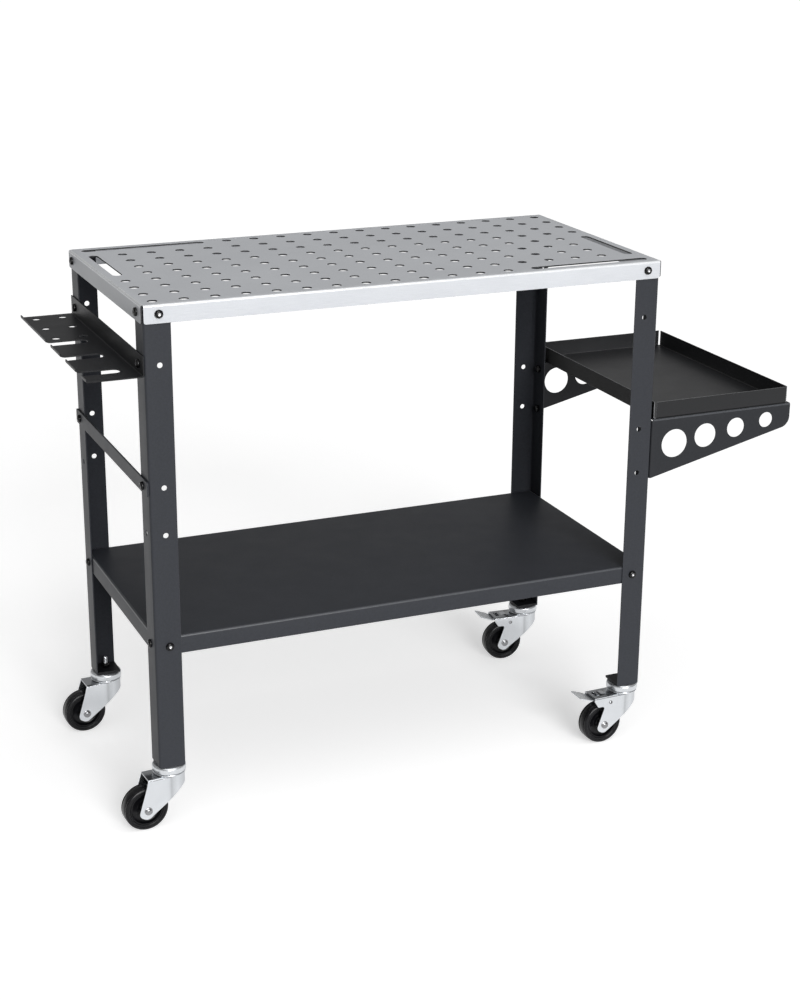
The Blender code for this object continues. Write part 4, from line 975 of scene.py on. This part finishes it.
def makeBrake(corner, place):
    size = brakePedal
    pivot = place @ Matrix.Translation((size["pivotTrail"], 0, -size["pivotDrop"]))
    half, eye = size["halfWidth"], size["eye"]
    roof = caster["roof"] - caster["sheet"] - size["roofGap"] + size["pivotDrop"]
    tail = caster["brakeTail"] - size["pivotTrail"]
    tip = tail + size["reach"]
    # upper face of the bent plate, from the curl round the pin to the start of the tongue
    curl = [math.radians(angle) for angle in range(300, 104, -15)]
    line = [(eye * math.cos(angle), eye * math.sin(angle)) for angle in curl]
    line += [(tail * 0.85, roof - size["roofGap"]), (tail + size["sheet"], roof)]
    bm = bmesh.new()
    last = None
    for x, z in line:
        new = [bm.verts.new((x, y, z)) for y in (-half, half)]
        if last:
            bm.faces.new((last[0], last[1], new[1], new[0]))
        last = new
    startX, slope = line[-1][0], size["rise"] / (tip - line[-1][0])
    wide, flare = size["tongue"], startX + size["flare"]
    tongue = bentOutline([(startX, -half, 0), (flare, -wide, size["flareRound"]), (tip, -wide, size["round"]),
                          (tip, wide, size["round"]), (flare, wide, size["flareRound"]), (startX, half, 0)],
                         steps=8)
    layFlat(bm, tongue, [], lambda x, y: (x, y, roof + (x - startX) * slope))
    addPiece("pedal_plate_" + corner, bm, brushedZinc, "pedal_" + corner, ["brake_pedal_" + corner],
             sheet=size["sheet"], facing=(-slope, 0, 1), edge=size["edge"], place=pivot)

    reach = caster["width"] / 2 + size["play"]
    end = reach + size["pinHeadHeight"]
    side = [(size["pinHead"] * share, end - inwards) for share, inwards in size["pinEnd"]]
    side += [(size["pinHead"], reach), (size["pin"], reach)]
    bm = bmesh.new()
    turned(bm, side + mirrored(side), size["pinSides"])
    # the pivot pin takes the painted shade zinc
    addPiece("pivot_pin_" + corner, bm, fastenerZincPaintedShade, "caster_" + corner, ["brake_pin_" + corner],
             place=pivot @ acrossFork)


for corner in cornerSigns:
    swivel = Vector(joints["swivel_" + corner]["pos_m"])
    axle = Vector(joints["roll_" + corner]["pos_m"])
    turn = math.atan2(axle.y - swivel.y, axle.x - swivel.x)
    foot = Vector((swivel.x, swivel.y, axle.z + caster["axleDrop"]))
    makeStem(corner, Matrix.Translation(foot))
    place = Matrix.Translation(foot) @ Matrix.Rotation(turn, 4, "Z")
    makeFork(corner, place)
    makeWheel(corner, place)
    if corner in brakedCorners:
        makeBrake(corner, place)
print("casters fitted")


# studio: pale floor, two broad suns, white surround

studio = {"floorSize": 60, "floorColour": (0.80, 0.80, 0.80), "floorRough": 0.9, "floorShine": 0.1,
          "floorLift": 0.50, "surround": 0.13, "sheen": 0.35, "sunReach": 6,
          "suns": {"front_window": ((0.0, -0.94, 0.34), 2.85, 30),
                   "roof_window": ((0.05, -0.45, 0.89), 0.95, 60)}}


def seenRays(tree, *kinds):
    # 1 for a ray of any of these kinds
    path = tree.nodes.new("ShaderNodeLightPath")
    seen = path.outputs[kinds[0]]
    for kind in kinds[1:]:
        seen = times(tree, seen, path.outputs[kind], "ADD")
    return seen


def hangLamp(lamp, at):
    holder = bpy.data.objects.new(lamp.name, lamp)
    holder.location = at
    holder.rotation_euler = (-at).to_track_quat("-Z", "Y").to_euler()
    bpy.context.scene.collection.objects.link(holder)


def makeStudio(size):
    bm = bmesh.new()
    bmesh.ops.create_grid(bm, x_segments=8, y_segments=8, size=size["floorSize"] / 2)
    mesh = bpy.data.meshes.new("studio_floor")
    bm.to_mesh(mesh)
    bm.free()
    floor = bpy.data.objects.new("studio_floor", mesh)
    bpy.context.scene.collection.objects.link(floor)
    finish, tree, shader = newFinish("pale_floor")
    shader.inputs["Base Color"].default_value = (*size["floorColour"], 1)
    shader.inputs["Roughness"].default_value = size["floorRough"]
    shader.inputs["Specular IOR Level"].default_value = size["floorShine"]
    shader.inputs["Emission Color"].default_value = (1, 1, 1, 1)
    seen = seenRays(tree, "Is Camera Ray", "Is Glossy Ray", "Is Transmission Ray")
    tree.links.new(spread(tree, seen, 0, size["floorLift"], 0, 1), shader.inputs["Emission Strength"])
    mesh.materials.append(finish)

    world = bpy.data.worlds.new("studio_surround")
    bpy.context.scene.world = world
    world.use_nodes = True
    back = world.node_tree.nodes["Background"]
    back.inputs["Color"].default_value = (1, 1, 1, 1)
    tree = world.node_tree
    white = spread(tree, seenRays(tree, "Is Camera Ray", "Is Transmission Ray"), size["surround"], 1, 0, 1)
    sheen = spread(tree, seenRays(tree, "Is Glossy Ray"), 0, size["sheen"], 0, 1)
    tree.links.new(times(tree, white, sheen, "MAXIMUM"), back.inputs["Strength"])

    for name, (away, power, breadth) in size["suns"].items():
        sun = bpy.data.lights.new(name, "SUN")
        sun.energy = power
        sun.angle = math.radians(breadth)
        hangLamp(sun, Vector(away) * size["sunReach"])


makeStudio(studio)

viewpoint = {"place": (-1.31437, -3.00032, 1.56888), "pitch": 0.33193, "yaw": -0.40602, "roll": 0.00695,
             "lens": 86.108, "sensor": 36}


def makeCamera(size):
    data = bpy.data.cameras.new("front_left_view")
    data.sensor_fit = "HORIZONTAL"
    data.sensor_width = size["sensor"]
    data.lens = size["lens"]
    camera = bpy.data.objects.new("front_left_view", data)
    camera.location = size["place"]
    level = Euler((math.pi / 2 - size["pitch"], 0, size["yaw"])).to_matrix()
    camera.rotation_euler = (level @ Matrix.Rotation(size["roll"], 3, "Z")).to_euler()
    bpy.context.scene.collection.objects.link(camera)
    bpy.context.scene.camera = camera


makeCamera(viewpoint)
bpy.context.scene.view_settings.view_transform = "Standard"
print("studio lit")
